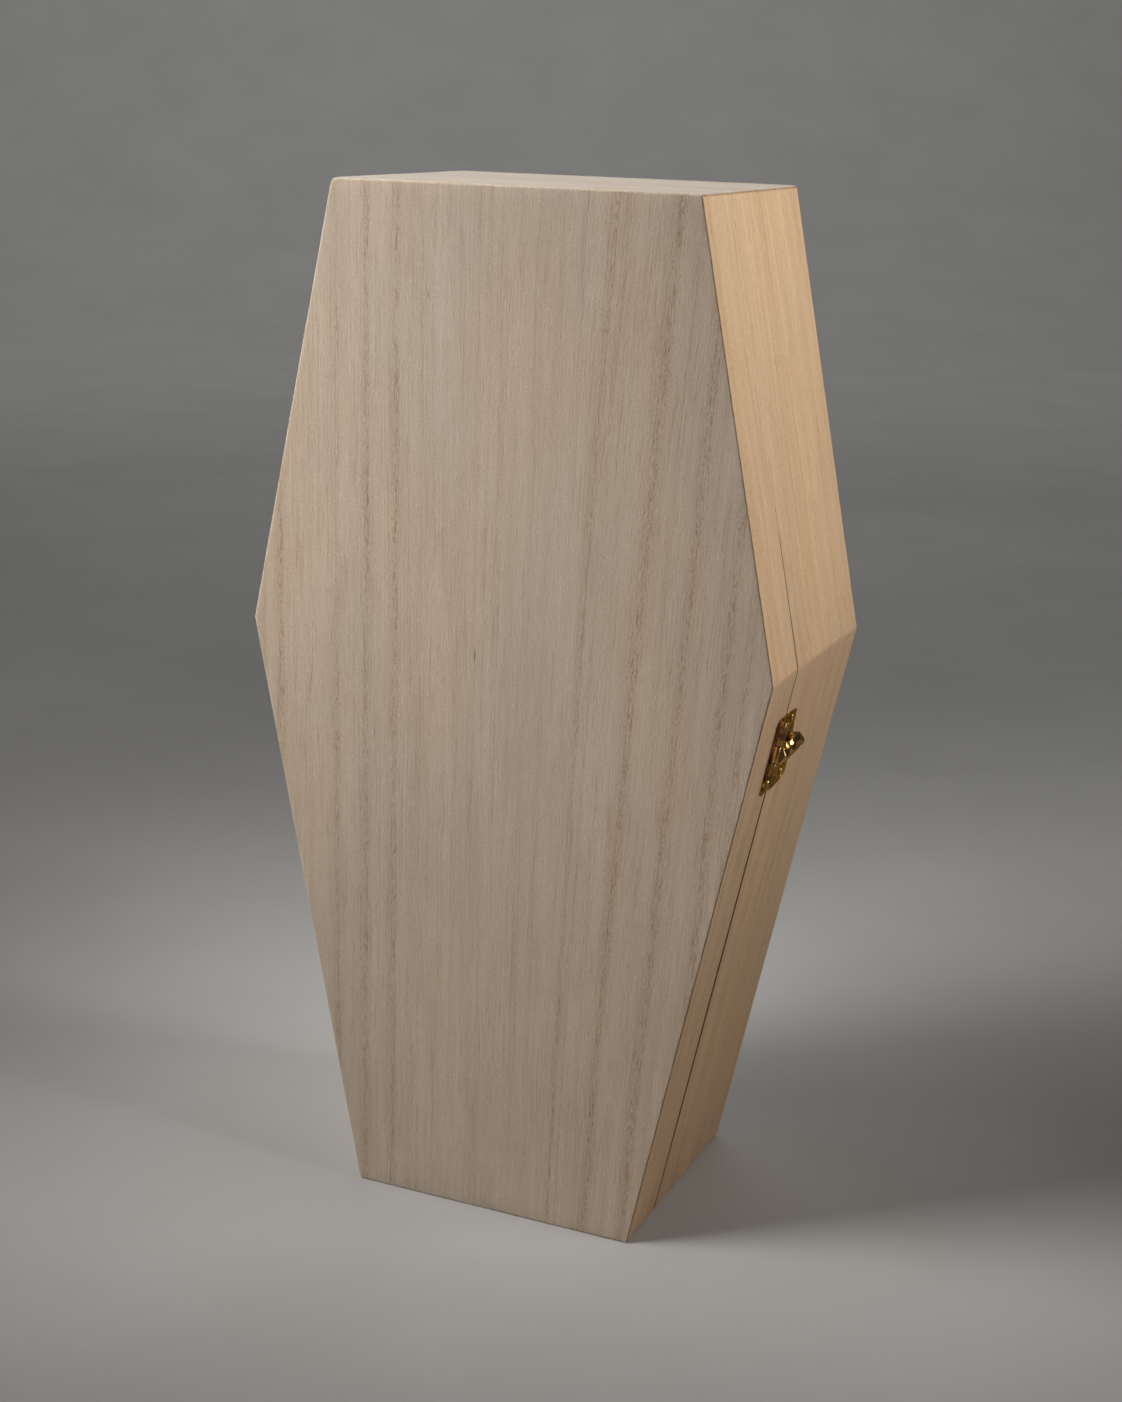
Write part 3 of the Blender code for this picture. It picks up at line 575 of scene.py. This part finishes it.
def board_piece(node, body, side, y0, y1, seam_at_end, step=0.0022):
    """One mitred board of the rim. Its section is a loop in (y, depth from the outer face)."""
    i, j = SIDES[side], (SIDES[side] + 1) % 6
    r_out, r_in = 0.00050, 0.00030
    sign = 1 if seam_at_end else -1
    seam_y, joint_y = (y1, y0) if seam_at_end else (y0, y1)
    loop = []
    width = abs(seam_y - joint_y)
    cuts = max(4, int(width / 0.0026))
    for k in range(cuts):
        loop.append((joint_y + sign * (width - r_out) * k / cuts, 0.0, 0.0))
    for k in range(6):
        turn = math.pi / 2 * k / 5
        loop.append((seam_y - sign * r_out * (1 - math.sin(turn)), r_out * (1 - math.cos(turn)), 1.0))
    for k in range(1, 5):
        loop.append((seam_y, r_out + (WALL - r_out - r_in) * k / 5, 1.0))
    for k in range(5):
        turn = math.pi / 2 * k / 4
        loop.append((seam_y - sign * r_in * (1 - math.cos(turn)), WALL - r_in * (1 - math.sin(turn)), 1.0))
    for k in range(1, cuts + 1):
        loop.append((seam_y - sign * (r_in + (width - r_in) * k / cuts), WALL, 0.0))
    loop.append((joint_y, WALL * 0.5, 0.0))
    near = [0.0, 0.00007, 0.00016, 0.0003, 0.0005, 0.0008, 0.0012, 0.0018]
    middle = int((LENGTH[i] - 0.0036) / step)
    stations = near + [0.0018 + (LENGTH[i] - 0.0036) * k / middle for k in range(1, middle)] + [LENGTH[i] - q for q in reversed(near)]
    bm = bmesh.new()
    rows = []
    for s in stations:
        t = s / LENGTH[i]
        row = []
        for y, p, seam_part in loop:
            first = p * math.tan(TURN[i] / 2) + 0.00005
            last = LENGTH[i] - p * math.tan(TURN[j] / 2) - 0.00005
            at = first + t * (last - first)
            # the corner's rounding and a fine groove at the mitre
            sink = 0.0
            for gap, corner in ((s, i), (LENGTH[i] - s, j)):
                radius, half = CORNER_R[corner], TURN[corner] / 2
                reach = radius * math.tan(half)
                if gap < reach:
                    angle = (1 - gap / reach) * half
                    if p < r_out + 1e-6:
                        sink += radius * (1 - math.cos(angle))
                        shift = reach - radius * math.sin(angle) - gap
                        at += shift if corner == i else -shift
                sink += 0.00011 * math.exp(-gap / 0.00016)
            outer = 1 - smooth(p / 0.0012)
            sink = sink * outer + side_relief(i, at, y) * outer
            z = OUTER[i].y + ALONG[i].y * at
            opened = (lerp_table(SEAM_WIDTH, z) / 1000 - SEAM_GAP) / 2
            share = min(1.0, abs(y - joint_y) / width)
            yy = y - sign * opened * smooth(share)
            if seam_part:
                nick = chip(i, at, 1 if seam_at_end else 2)
                band = math.exp(-((abs(seam_y - y) - p) / 0.0005) ** 2) * (1 if p < 0.0009 else 0)
                sink += nick * band
                yy -= sign * nick * band
            yy += sign * 0.00002 * n3(at * 70, p * 400, i * 3.0 + sign) * seam_part
            flat = Vector((OUTER[i].x, OUTER[i].y)) + ALONG[i] * at - OUTWARD[i] * (p + sink)
            row.append(bm.verts.new((flat.x, yy, flat.y)))
        rows.append(row)
    n = len(loop)
    for row, following in zip(rows, rows[1:]):
        for k in range(n):
            m = (k + 1) % n
            bm.faces.new((row[k], row[m], following[m], following[k]))
    bm.faces.new(rows[0])
    bm.faces.new(rows[-1])
    return new_piece(node, bm, [side_wood[side]], body)


panel_piece("lid_face_panel", "lid", FRONT, FRONT + PANEL, face_wood, back_wood, 0.0008, 0.0006, 0.005, FACE_STREAKS)
panel_piece("box_back_panel", "box", BACK, BACK - PANEL, back_wood, face_wood, 0.0008, 0.0010, 0.006)
for side in SIDES:
    board_piece("lid_" + side + "_rail", "lid", side, FRONT + PANEL + 0.00002, LID_SEAM, True)
    board_piece("box_" + side + "_board", "box", side, BOX_SEAM, BACK - PANEL - 0.00002, False)


# ---------------------------------------------------------------- brass fittings
PLATE, PIN_R, KNUCKLE_IN, KNUCKLE_OUT = 0.0005, 0.00050, 0.00060, 0.00125
CLASP_TOP, CLASP_BOTTOM, CLASP_LID_EDGE = 0.0134, 0.0364, 0.0146
CLASP_AXIS_V, CLASP_AXIS_P = 0.0156, 0.00165
TONGUE_KNUCKLE = (0.0207, 0.0255)
TONGUE_THICK = 0.0006
TONGUE_PATH = ((0.0149, 0.0026), (0.0153, 0.0040), (0.0166, 0.0047), (0.0182, 0.0042), (0.0193, 0.0037), (0.0206, 0.0046), (0.0221, 0.0047), (0.0233, 0.0038), (0.0246, 0.0042), (0.0260, 0.0046), (0.0273, 0.0042), (0.0288, 0.0049))
TONGUE_SKEW, TONGUE_FLARE, TONGUE_CROWN = 0.0013, 0.0011, 0.0014
CATCH_V = 0.0256
HINGE_CENTRES, HINGE_LENGTH, HINGE_LEAF, HINGE_PLATE = (0.034, 0.143), 0.020, 0.0085, 0.0006
HINGE_KNUCKLE_OUT, HINGE_AXIS_P, HINGE_PIN_R, HINGE_KNUCKLE_IN = 0.0014, 0.00175, 0.0006, 0.0007
NAIL_HEAD_R, NAIL_HEAD_H, NAIL_SHANK_R, NAIL_LENGTH = 0.00115, 0.00045, 0.00045, 0.0050
METAL_GAP = 0.0001
PLATE_BASE, PLATE_TOP = METAL_GAP, METAL_GAP + PLATE
k0, k1 = TONGUE_KNUCKLE
gap = METAL_GAP * 2


def side_frame(sign):
    up = Vector(((SHOULDER_WIDTH - FOOT_WIDTH) / 2 * sign, 0, SHOULDER_HEIGHT)).normalized()
    out = Vector((up.z * sign, 0, -abs(up.x)))
    a = -up if sign > 0 else up
    start = Vector((SHOULDER_WIDTH / 2, FRONT, SHOULDER_HEIGHT)) if sign > 0 else Vector((-FOOT_WIDTH / 2, FRONT, 0))
    made = Matrix((a, Vector((0, 1, 0)), out)).transposed().to_4x4()
    made.translation = start
    return made


RIGHT, LEFT = side_frame(1), side_frame(-1)


def bm_object(name, bm, matrix=None):
    bmesh.ops.recalc_face_normals(bm, faces=bm.faces)
    mesh = bpy.data.meshes.new(name)
    bm.to_mesh(mesh)
    bm.free()
    if matrix is not None:
        mesh.transform(matrix)
    obj = bpy.data.objects.new(name, mesh)
    scene.collection.objects.link(obj)
    return obj


def joined(first, others, operation="UNION"):
    """first with the others joined to it or cut from it, as one closed mesh in a bmesh; the inputs are removed."""
    for other in others:
        mod = first.modifiers.new(other.name, "BOOLEAN")
        mod.operation, mod.solver, mod.object = operation, "EXACT", other
    bpy.context.view_layer.update()
    graph = bpy.context.evaluated_depsgraph_get()
    mesh = bpy.data.meshes.new_from_object(first.evaluated_get(graph))
    for obj in [first, *others]:
        bpy.data.objects.remove(obj, do_unlink=True)
    bm = bmesh.new()
    bm.from_mesh(mesh)
    bpy.data.meshes.remove(mesh)
    return bm


def slab(shape, p0, p1, edge=0.00014, segments=3, rounding=0.0):
    """A sheet of metal cut to a shape [(a, v)] with its upper edge rounded."""
    bm = bmesh.new()
    face = bm.faces.new([bm.verts.new((a, v, p0)) for a, v in shape])
    if rounding:
        bmesh.ops.bevel(bm, geom=bm.verts[:], offset=rounding, segments=4, profile=0.5, affect="VERTICES")
        face = bm.faces[:][0]
    moved = bmesh.ops.extrude_face_region(bm, geom=bm.faces[:])
    top = [v for v in moved["geom"] if isinstance(v, bmesh.types.BMVert)]
    bmesh.ops.translate(bm, vec=(0, 0, p1 - p0), verts=top)
    edges = [e for e in bm.edges if all(abs(v.co.z - p1) < 1e-7 for v in e.verts)]
    bmesh.ops.bevel(bm, geom=edges, offset=edge, segments=segments, profile=0.5, affect="EDGES")
    return bm


def rolled(span, axis_v, axis_p, outer, inner, toward, turns=0.90, count=40, ridged=False):
    """A knuckle as the sheet's own edge rolled round the pin: it starts under the pin and ends just above the sheet."""
    bm = bmesh.new()
    ends = []
    for a in span:
        ring = []
        for radius in (outer, inner):
            part = []
            for k in range(count + 1):
                angle = -math.pi / 2 - toward * 2 * math.pi * turns * k / count
                cut = 0.00009 * (0.5 - 0.5 * math.cos(14 * angle)) if radius == outer and ridged else 0.0
                part.append(bm.verts.new((a, axis_v + (radius - cut) * math.cos(angle), axis_p + (radius - cut) * math.sin(angle))))
            ring.append(part)
        ends.append(ring)
    for k in range(count):
        for radius in (0, 1):
            bm.faces.new((ends[0][radius][k], ends[0][radius][k + 1], ends[1][radius][k + 1], ends[1][radius][k]))
        for end in (0, 1):
            bm.faces.new((ends[end][0][k], ends[end][0][k + 1], ends[end][1][k + 1], ends[end][1][k]))
    for k in (0, count):
        bm.faces.new((ends[0][0][k], ends[0][1][k], ends[1][1][k], ends[1][0][k]))
    bmesh.ops.recalc_face_normals(bm, faces=bm.faces)
    rims = [e for e in bm.edges if len({round(v.co.x, 7) for v in e.verts}) == 1 and all(abs(math.hypot(v.co.y - axis_v, v.co.z - axis_p) - outer) < 0.00012 for v in e.verts)]
    bmesh.ops.bevel(bm, geom=rims, offset=0.00013, segments=3, profile=0.5, affect="EDGES")
    return bm


def rod_piece(node, body, frame_matrix, span, v, p, radius, material):
    bm = bmesh.new()
    profile = [(span[0], 0.0), (span[0] + 0.00003, radius * 0.55), (span[0] + 0.00012, radius * 0.88), (span[0] + 0.0003, radius)]
    steps = 10
    profile += [(span[0] + 0.0003 + (span[1] - span[0] - 0.0006) * k / steps, radius) for k in range(1, steps)]
    profile += [(span[1] - (a - span[0]), r) for a, r in reversed(profile[:4])]
    rings = []
    for a, r in profile:
        if r == 0.0:
            rings.append([bm.verts.new((a, v, p))])
        else:
            rings.append([bm.verts.new((a, v + r * math.cos(math.tau * k / 24), p + r * math.sin(math.tau * k / 24))) for k in range(24)])
    for ring, following in zip(rings, rings[1:]):
        for k in range(24):
            n = (k + 1) % 24
            if len(ring) == 1:
                bm.faces.new((ring[0], following[k], following[n]))
            elif len(following) == 1:
                bm.faces.new((ring[k], ring[n], following[0]))
            else:
                bm.faces.new((ring[k], ring[n], following[n], following[k]))
    return new_piece(node, bm, [material], body, frame_matrix)


def nail_piece(node, body, frame_matrix, a, v, base, seed, dished=False):
    """A small brass nail: a domed head with a struck flat and a fine rim, and its shank in the wood."""
    profile = [(0.0, NAIL_HEAD_H * 0.90)]
    for k in range(1, 13):
        turn = math.pi / 2 * k / 12
        profile.append((NAIL_HEAD_R * math.sin(turn), NAIL_HEAD_H * (0.24 + 0.70 * math.cos(turn) ** 0.8 if turn < math.pi / 2 - 1e-6 else 0.24)))
    if dished:
        # the head is driven in and has sunk in the middle, leaving a bright rim
        share = ((0.0, 0.12), (0.35, 0.13), (0.55, 0.18), (0.66, 0.34), (0.74, 0.72), (0.80, 0.90), (0.86, 0.94), (0.92, 0.84), (0.97, 0.58), (1.0, 0.24))
        profile = [(NAIL_HEAD_R * r, NAIL_HEAD_H * 0.55 * h) for r, h in share]
    profile += [(NAIL_HEAD_R * 0.99, NAIL_HEAD_H * 0.10), (NAIL_HEAD_R * 0.94, 0.0), (NAIL_SHANK_R, 0.0), (NAIL_SHANK_R, 0.001 - NAIL_LENGTH - base), (0.0, -NAIL_LENGTH - base)]
    bm = bmesh.new()
    rings = []
    count = 28
    for r, h in profile:
        if r == 0.0:
            rings.append([bm.verts.new((a, v, base + h))])
            continue
        ring = []
        for k in range(count):
            angle = math.tau * k / count
            wobble = 1.0 - 0.035 * (0.5 + 0.5 * n3(math.cos(angle) * 1.3 + seed, math.sin(angle) * 1.3, seed * 2.0))
            x, y = r * math.cos(angle) * wobble, r * math.sin(angle) * wobble
            dent = 0.00005 * max(0.0, n3(x * 1500 + seed * 5, y * 1500, 0.3)) if h > NAIL_HEAD_H * 0.3 else 0.0
            ring.append(bm.verts.new((a + x, v + y, base + h - dent)))
        rings.append(ring)
    for ring, following in zip(rings, rings[1:]):
        for k in range(count):
            n = (k + 1) % count
            if len(ring) == 1:
                bm.faces.new((ring[0], following[k], following[n]))
            elif len(following) == 1:
                bm.faces.new((ring[k], ring[n], following[0]))
            else:
                bm.faces.new((ring[k], ring[n], following[n], following[k]))
    # painted shade: the sunk middle of the head gets the dark dull brass, standing for the shade in its hollow
    if dished:
        for f in bm.faces:
            middle = f.calc_center_median()
            f.material_index = 1 if math.hypot(middle.x - a, middle.y - v) < NAIL_HEAD_R * 0.72 and middle.z > base else 0
    return new_piece(node, bm, [nail_brass, nail_hollow_shade] if dished else [nail_brass], body, frame_matrix, 50)


# the lid's half of the clasp: a plate whose front edge is rolled into two knuckles
plate_shape = [
    (CLASP_BOTTOM - 0.0008, LID_DEPTH - 0.0002), (CLASP_TOP, LID_DEPTH - 0.0002), (CLASP_TOP, CLASP_LID_EDGE + 0.0010),
    (k0 - gap, CLASP_LID_EDGE + 0.0010), (k0 - gap, CLASP_AXIS_V + KNUCKLE_OUT + 0.0004), (k1 + gap, CLASP_AXIS_V + KNUCKLE_OUT + 0.0004),
    (k1 + gap, CLASP_LID_EDGE + 0.0010), (0.0310, CLASP_LID_EDGE + 0.0010), (0.0318, CLASP_LID_EDGE), (0.0356, CLASP_LID_EDGE), (CLASP_BOTTOM, CLASP_LID_EDGE + 0.0007),
]
plate = bm_object("plate", slab(plate_shape, PLATE_BASE, PLATE_TOP))
barrels = [bm_object("barrel%d" % n, rolled(span, CLASP_AXIS_V, CLASP_AXIS_P, KNUCKLE_OUT, KNUCKLE_IN, 1.0, count=112, ridged=True)) for n, span in enumerate(((CLASP_TOP, k0 - gap), (k1 + gap, 0.0310)))]
new_piece("clasp_lid_plate", joined(plate, barrels), [clasp_brass_shaded], "lid", RIGHT)
rod_piece("clasp_hinge_pin", "lid", RIGHT, (CLASP_TOP + 0.0002, 0.0308), CLASP_AXIS_V, CLASP_AXIS_P, PIN_R, pin_steel)


def smooth_path(points, count):
    ends = [Vector(points[0]) * 2 - Vector(points[1])] + [Vector(q) for q in points] + [Vector(points[-1]) * 2 - Vector(points[-2])]
    found = []
    for s in range(count + 1):
        t = s / count * (len(points) - 1)
        i = min(int(t), len(points) - 2)
        t -= i
        p0, p1, p2, p3 = ends[i : i + 4]
        found.append(0.5 * (2 * p1 + (p2 - p0) * t + (2 * p0 - 5 * p1 + 4 * p2 - p3) * t * t + (3 * p1 - p0 - 3 * p2 + p3) * t ** 3))
    return found


def tongue_section(t):
    middle = (k0 + k1) / 2 - TONGUE_SKEW * smooth((t - 0.25) / 0.45)
    half = (k1 - k0) / 2 + TONGUE_FLARE * smooth((t - 0.3) / 0.4)
    if t > 0.72:
        half *= max(0.16, 1 - ((t - 0.72) / 0.28) ** 2.6) ** 0.46
    drop = TONGUE_CROWN * smooth(t / 0.2) * (1 - 0.55 * smooth((t - 0.7) / 0.3))
    return middle - half, middle + half, drop


def tongue_mesh():
    """The tongue as a pressed sheet with rounded edges: a closed loop across it at each step along its path."""
    steps, across, rim = 96, 26, 5
    path = smooth_path(TONGUE_PATH, steps)
    bm = bmesh.new()
    rows = []
    for s, point in enumerate(path):
        t = s / steps
        low, high, drop = tongue_section(t)
        before, after = path[max(0, s - 1)], path[min(steps, s + 1)]
        along = (after - before).normalized()
        normal = Vector((-along.y, along.x))
        thick = TONGUE_THICK / 2 * (1 - 0.25 * smooth((t - 0.9) / 0.1))
        inset = min(thick, (high - low) * 0.2)
        row = []
        loop = []
        for c in range(across + 1):
            w = -1 + 2 * c / across
            loop.append((w, 1.0))
        for k in range(1, rim):
            loop.append((1 + 0j, math.cos(math.pi * k / rim)))
        for c in range(across + 1):
            loop.append((1 - 2 * c / across, -1.0))
        for k in range(1, rim):
            loop.append((-1 + 0j, -math.cos(math.pi * k / rim)))
        for w, q in loop:
            edge = isinstance(w, complex)
            w = w.real if edge else w
            reach = (high - low) / 2 - inset
            a = (low + high) / 2 + w * reach
            if edge:
                a += math.copysign(inset * math.sqrt(max(0.0, 1 - q * q)), w)
            v = point.x + normal.x * thick * q
            p = point.y + normal.y * thick * q - drop * w * w
            row.append(bm.verts.new((a, v, p)))
        rows.append(row)
    n = len(rows[0])
    for row, following in zip(rows, rows[1:]):
        for k in range(n):
            m = (k + 1) % n
            bm.faces.new((row[k], row[m], following[m], following[k]))
    bm.faces.new(rows[0])
    bm.faces.new(rows[-1])
    return bm


def add_tube(bm, a, v, p, outer, inner, count=40):
    rings = []
    for radius in (outer, inner):
        for end in a:
            rings.append([bm.verts.new((end, v + radius * math.cos(math.tau * k / count), p + radius * math.sin(math.tau * k / count))) for k in range(count)])
    for first, second in ((0, 1), (1, 3), (3, 2), (2, 0)):
        for k in range(count):
            n = (k + 1) % count
            bm.faces.new((rings[first][k], rings[first][n], rings[second][n], rings[second][k]))
    bmesh.ops.recalc_face_normals(bm, faces=bm.faces)
    rims = [e for e in bm.edges if len({round(w.co.x, 7) for w in e.verts}) == 1 and all(abs(math.hypot(w.co.y - v, w.co.z - p) - outer) < 1e-6 for w in e.verts)]
    bmesh.ops.bevel(bm, geom=rims, offset=0.00012, segments=3, profile=0.5, affect="EDGES")


tube = bmesh.new()
add_tube(tube, TONGUE_KNUCKLE, CLASP_AXIS_V, CLASP_AXIS_P, KNUCKLE_OUT, KNUCKLE_IN)
new_piece("clasp_tongue", joined(bm_object("sheet", tongue_mesh()), [bm_object("knuckle", tube)]), [tongue_brass_lit], "clasp_tongue", RIGHT, 42)


def catch_outline():
    inner = LID_DEPTH + SEAM_GAP + 0.0002
    points = [(CLASP_BOTTOM, inner), (CLASP_TOP, inner)]
    span = CLASP_BOTTOM - CLASP_TOP
    steps = 36
    for k in range(steps + 1):
        s = k / steps
        bulge = 0.0072 + 0.0052 * math.sin(math.pi * min(1.0, s / 1.5) ** 1.15 * 0.75)
        if s > 0.86:
            bulge *= math.sqrt(max(0.12, 1 - ((s - 0.86) / 0.14) ** 2 * 0.88))
        points.append((CLASP_TOP + span * s, inner + bulge))
    return points


catch = bm_object("catch", slab(catch_outline(), PLATE_BASE, PLATE_TOP))
ridge = bmesh.new()
middle = Vector((0.0221, CATCH_V, 0.00152))
bmesh.ops.create_cube(ridge, size=1.0, matrix=Matrix.Translation(middle) @ Matrix.Diagonal((0.0028, 0.0020, 0.0027, 1.0)))
tops = [e for e in ridge.edges if all(v.co.z > middle.z for v in e.verts)]
bmesh.ops.bevel(ridge, geom=tops, offset=0.0009, segments=6, profile=0.5, affect="EDGES")
# a curved bead is pressed into the lobe round the bottom nail
bead = bmesh.new()
rings = []
for k in range(19):
    turn = math.radians(-60 + 250 * k / 18)
    centre = Vector((0.0327 + 0.0024 * math.cos(turn), 0.0294 + 0.0024 * math.sin(turn), PLATE_TOP - 0.00004))
    radial = Vector((math.cos(turn), math.sin(turn), 0))
    size = 0.00030 * math.sin(math.pi * (k + 0.6) / 19.2) ** 0.5
    rings.append([bead.verts.new(centre + radial * size * math.cos(math.tau * q / 12) + Vector((0, 0, size * 0.8 * math.sin(math.tau * q / 12)))) for q in range(12)])
for ring, following in zip(rings, rings[1:]):
    for q in range(12):
        w = (q + 1) % 12
        bead.faces.new((ring[q], ring[w], following[w], following[q]))
bead.faces.new(rings[0])
bead.faces.new(rings[-1])
new_piece("clasp_catch_plate", joined(catch, [bm_object("ridge", ridge), bm_object("bead", bead)]), [clasp_brass_shaded], "box", RIGHT)

HEAD_BASE = PLATE_TOP + METAL_GAP * 0.2
for number, (node, body, a, v) in enumerate((
    ("clasp_lid_nail_upper", "lid", 0.0166, 0.0192),
    ("clasp_lid_nail_lower", "lid", 0.0335, 0.0188),
    ("clasp_catch_nail_top", "box", 0.0152, 0.0262),
    ("clasp_catch_nail_seam", "box", 0.0178, 0.0236),
    ("clasp_catch_nail_bottom", "box", 0.0328, 0.0296),
)):
    nail_piece(node, body, RIGHT, a, v, HEAD_BASE, number + 1.0, node == "clasp_lid_nail_lower")

# ---------------------------------------------------------------- hinges
HINGE_TOP = METAL_GAP + HINGE_PLATE
seed = 20.0
for title, centre in zip(("lower", "upper"), HINGE_CENTRES):
    low, high = centre - HINGE_LENGTH / 2, centre + HINGE_LENGTH / 2
    third = HINGE_LENGTH / 3
    spans = {"box": ((low, low + third - gap), (high - third + gap, high)), "lid": ((low + third, high - third),)}
    for half, sign in (("box", 1), ("lid", -1)):
        clear = HINGE_KNUCKLE_OUT + 0.0003
        near, far_edge = SEAM_V + sign * clear, SEAM_V + sign * HINGE_LEAF
        cut = 0.0007
        shape = [(low, near), (low, far_edge - sign * cut), (low + cut, far_edge), (high - cut, far_edge), (high, far_edge - sign * cut), (high, near)]
        leaf = bm_object("leaf", slab(shape, METAL_GAP, HINGE_TOP))
        others = []
        for number, span in enumerate(spans[half]):
            web = sorted((SEAM_V + sign * 0.0001, SEAM_V + sign * (clear + 0.0005)))
            shape = [(span[0], web[0]), (span[1], web[0]), (span[1], web[1]), (span[0], web[1])]
            others.append(bm_object("web%d" % number, slab(shape, METAL_GAP + 0.00002, HINGE_TOP - 0.00003, 0.00008)))
            others.append(bm_object("knuckle%d" % number, rolled(span, SEAM_V, HINGE_AXIS_P, HINGE_KNUCKLE_OUT, HINGE_KNUCKLE_IN, sign)))
        name = "hinge_" + title + "_" + half + "_leaf"
        new_piece(name, joined(leaf, others), [hinge_brass], half, LEFT)
        for number, offset in enumerate((-0.0062, 0.0062)):
            seed += 1.0
            nail_piece("hinge_" + title + "_" + half + ("_nail_a", "_nail_b")[number], half, LEFT, centre + offset, SEAM_V + sign * 0.0055, HINGE_TOP + METAL_GAP * 0.2, seed)
    rod_piece("hinge_" + title + "_pin", "box", LEFT, (low + 0.0002, high - 0.0002), SEAM_V, HINGE_AXIS_P, HINGE_PIN_R, pin_steel)

# ---------------------------------------------------------------- floor and backdrop
sweep = bmesh.new()
rows = []
section = [(-8.0, 0.0), (2.2, 0.0)]
for k in range(1, 13):
    turn = math.pi / 2 * k / 12
    section.append((2.2 + 1.2 * math.sin(turn), 1.2 * (1 - math.cos(turn))))
section.append((3.4, 5.0))
heading = Matrix.Rotation(math.radians(23.461), 4, "Z")
for x in (-14.0, 14.0):
    rows.append([sweep.verts.new(heading @ Vector((x, y, z - 0.00002))) for y, z in section])
for k in range(len(section) - 1):
    sweep.faces.new((rows[0][k], rows[1][k], rows[1][k + 1], rows[0][k + 1]))
floor = bm_object("studio_floor", sweep)
for face in floor.data.polygons:
    face.use_smooth = True
g = Graph("floor_paper")
place = g.node("TexCoord").outputs["Object"]
scaled = g.node("VectorMath", place, (9.0, 9.0, 9.0), operation="MULTIPLY").outputs[0]
tone = g.range(g.noise(scaled, 4.0, 0.6), 0.3, 0.7)
g.put(g.shader.inputs["Base Color"], g.mix(tone, (0.50, 0.495, 0.485, 1.0), (0.53, 0.525, 0.515, 1.0)))
g.shader.inputs["Roughness"].default_value = 0.75
g.shader.inputs["Specular IOR Level"].default_value = 0.2
floor.data.materials.append(g.mat)
floor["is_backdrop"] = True

# ---------------------------------------------------------------- camera, at the photograph's viewing angle
FOCAL_PX = 2172.0
data = bpy.data.cameras.new("camera")
data.sensor_fit = "AUTO"
data.sensor_width = 36.0
data.lens = FOCAL_PX / 1402.0 * 36.0
data.clip_start, data.clip_end = 0.01, 50.0
camera = bpy.data.objects.new("camera", data)
scene.collection.objects.link(camera)
yaw, pitch, roll = math.radians(-23.461), math.radians(-15.715), math.radians(1.577)
forward = Vector((math.sin(yaw) * math.cos(pitch), math.cos(yaw) * math.cos(pitch), math.sin(pitch)))
right = Vector((math.cos(yaw), -math.sin(yaw), 0))
up = right.cross(forward)
side_axis = right * math.cos(roll) + up * math.sin(roll)
up_axis = up * math.cos(roll) - right * math.sin(roll)
placed = Matrix((side_axis, up_axis, -forward)).transposed().to_4x4()
placed.translation = Vector((0.2493, -0.57019, 0.32439))
camera.matrix_world = placed
scene.camera = camera


# ---------------------------------------------------------------- plain soft studio light
def area(name, at, target, size, power, colour, spread=180):
    lamp = bpy.data.lights.new(name, "AREA")
    lamp.shape = "RECTANGLE"
    lamp.size, lamp.size_y = size
    lamp.energy = power
    lamp.color = colour
    lamp.spread = math.radians(spread)
    obj = bpy.data.objects.new(name, lamp)
    scene.collection.objects.link(obj)
    obj.location = at
    obj.rotation_mode = "QUATERNION"
    obj.rotation_quaternion = (Vector(target) - Vector(at)).to_track_quat("-Z", "Y")
    return obj


area("key_light", (-0.38, -0.32, 0.54), (-0.08, -0.03, 0.215), (0.30, 0.30), 0.385, (1.0, 0.985, 0.96), 54)
area("left_light", (-0.46, -0.24, 0.50), (-0.05, -0.03, 0.30), (0.30, 0.30), 0.25, (1.0, 0.99, 0.97), 60)
area("right_light", (0.50, 0.02, 0.52), (0.04, 0.0, 0.31), (0.30, 0.30), 0.405, (1.0, 0.985, 0.95), 60)
area("top_light", (-0.1, 0.55, 1.3), (0, 0, 0.2), (0.8, 0.8), 0.47, (1.0, 1.0, 1.0), 120)
area("back_fill", (-0.35, 1.1, 0.55), (0.0, 0.05, 0.14), (0.8, 0.8), 0.3, (1.0, 0.985, 0.96), 110)
area("rim_light", (0.62, 0.85, 0.62), (0.05, 0.03, 0.18), (0.30, 0.30), 0.07, (1.0, 0.98, 0.95), 70)
area("backdrop_light", (-0.75, 1.10, 2.3), (-1.5, 3.1, 0.45), (2.6, 0.9), 22.0, (1.0, 0.995, 0.985), 165)
area("brass_card", (0.47, -0.22, 0.045), (0.077, -0.02, 0.155), (0.14, 0.14), 0.055, (1.0, 0.94, 0.84), 90)

world = scene.world or bpy.data.worlds.new("studio")
scene.world = world
world.use_nodes = True
background = world.node_tree.nodes["Background"]
background.inputs["Color"].default_value = (0.80, 0.84, 0.90, 1.0)
background.inputs["Strength"].default_value = 0.03
scene.view_settings.view_transform = "Standard"
scene.view_settings.look = "None"
scene.view_settings.exposure = 0.0
scene.view_settings.gamma = 1.0

low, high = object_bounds()
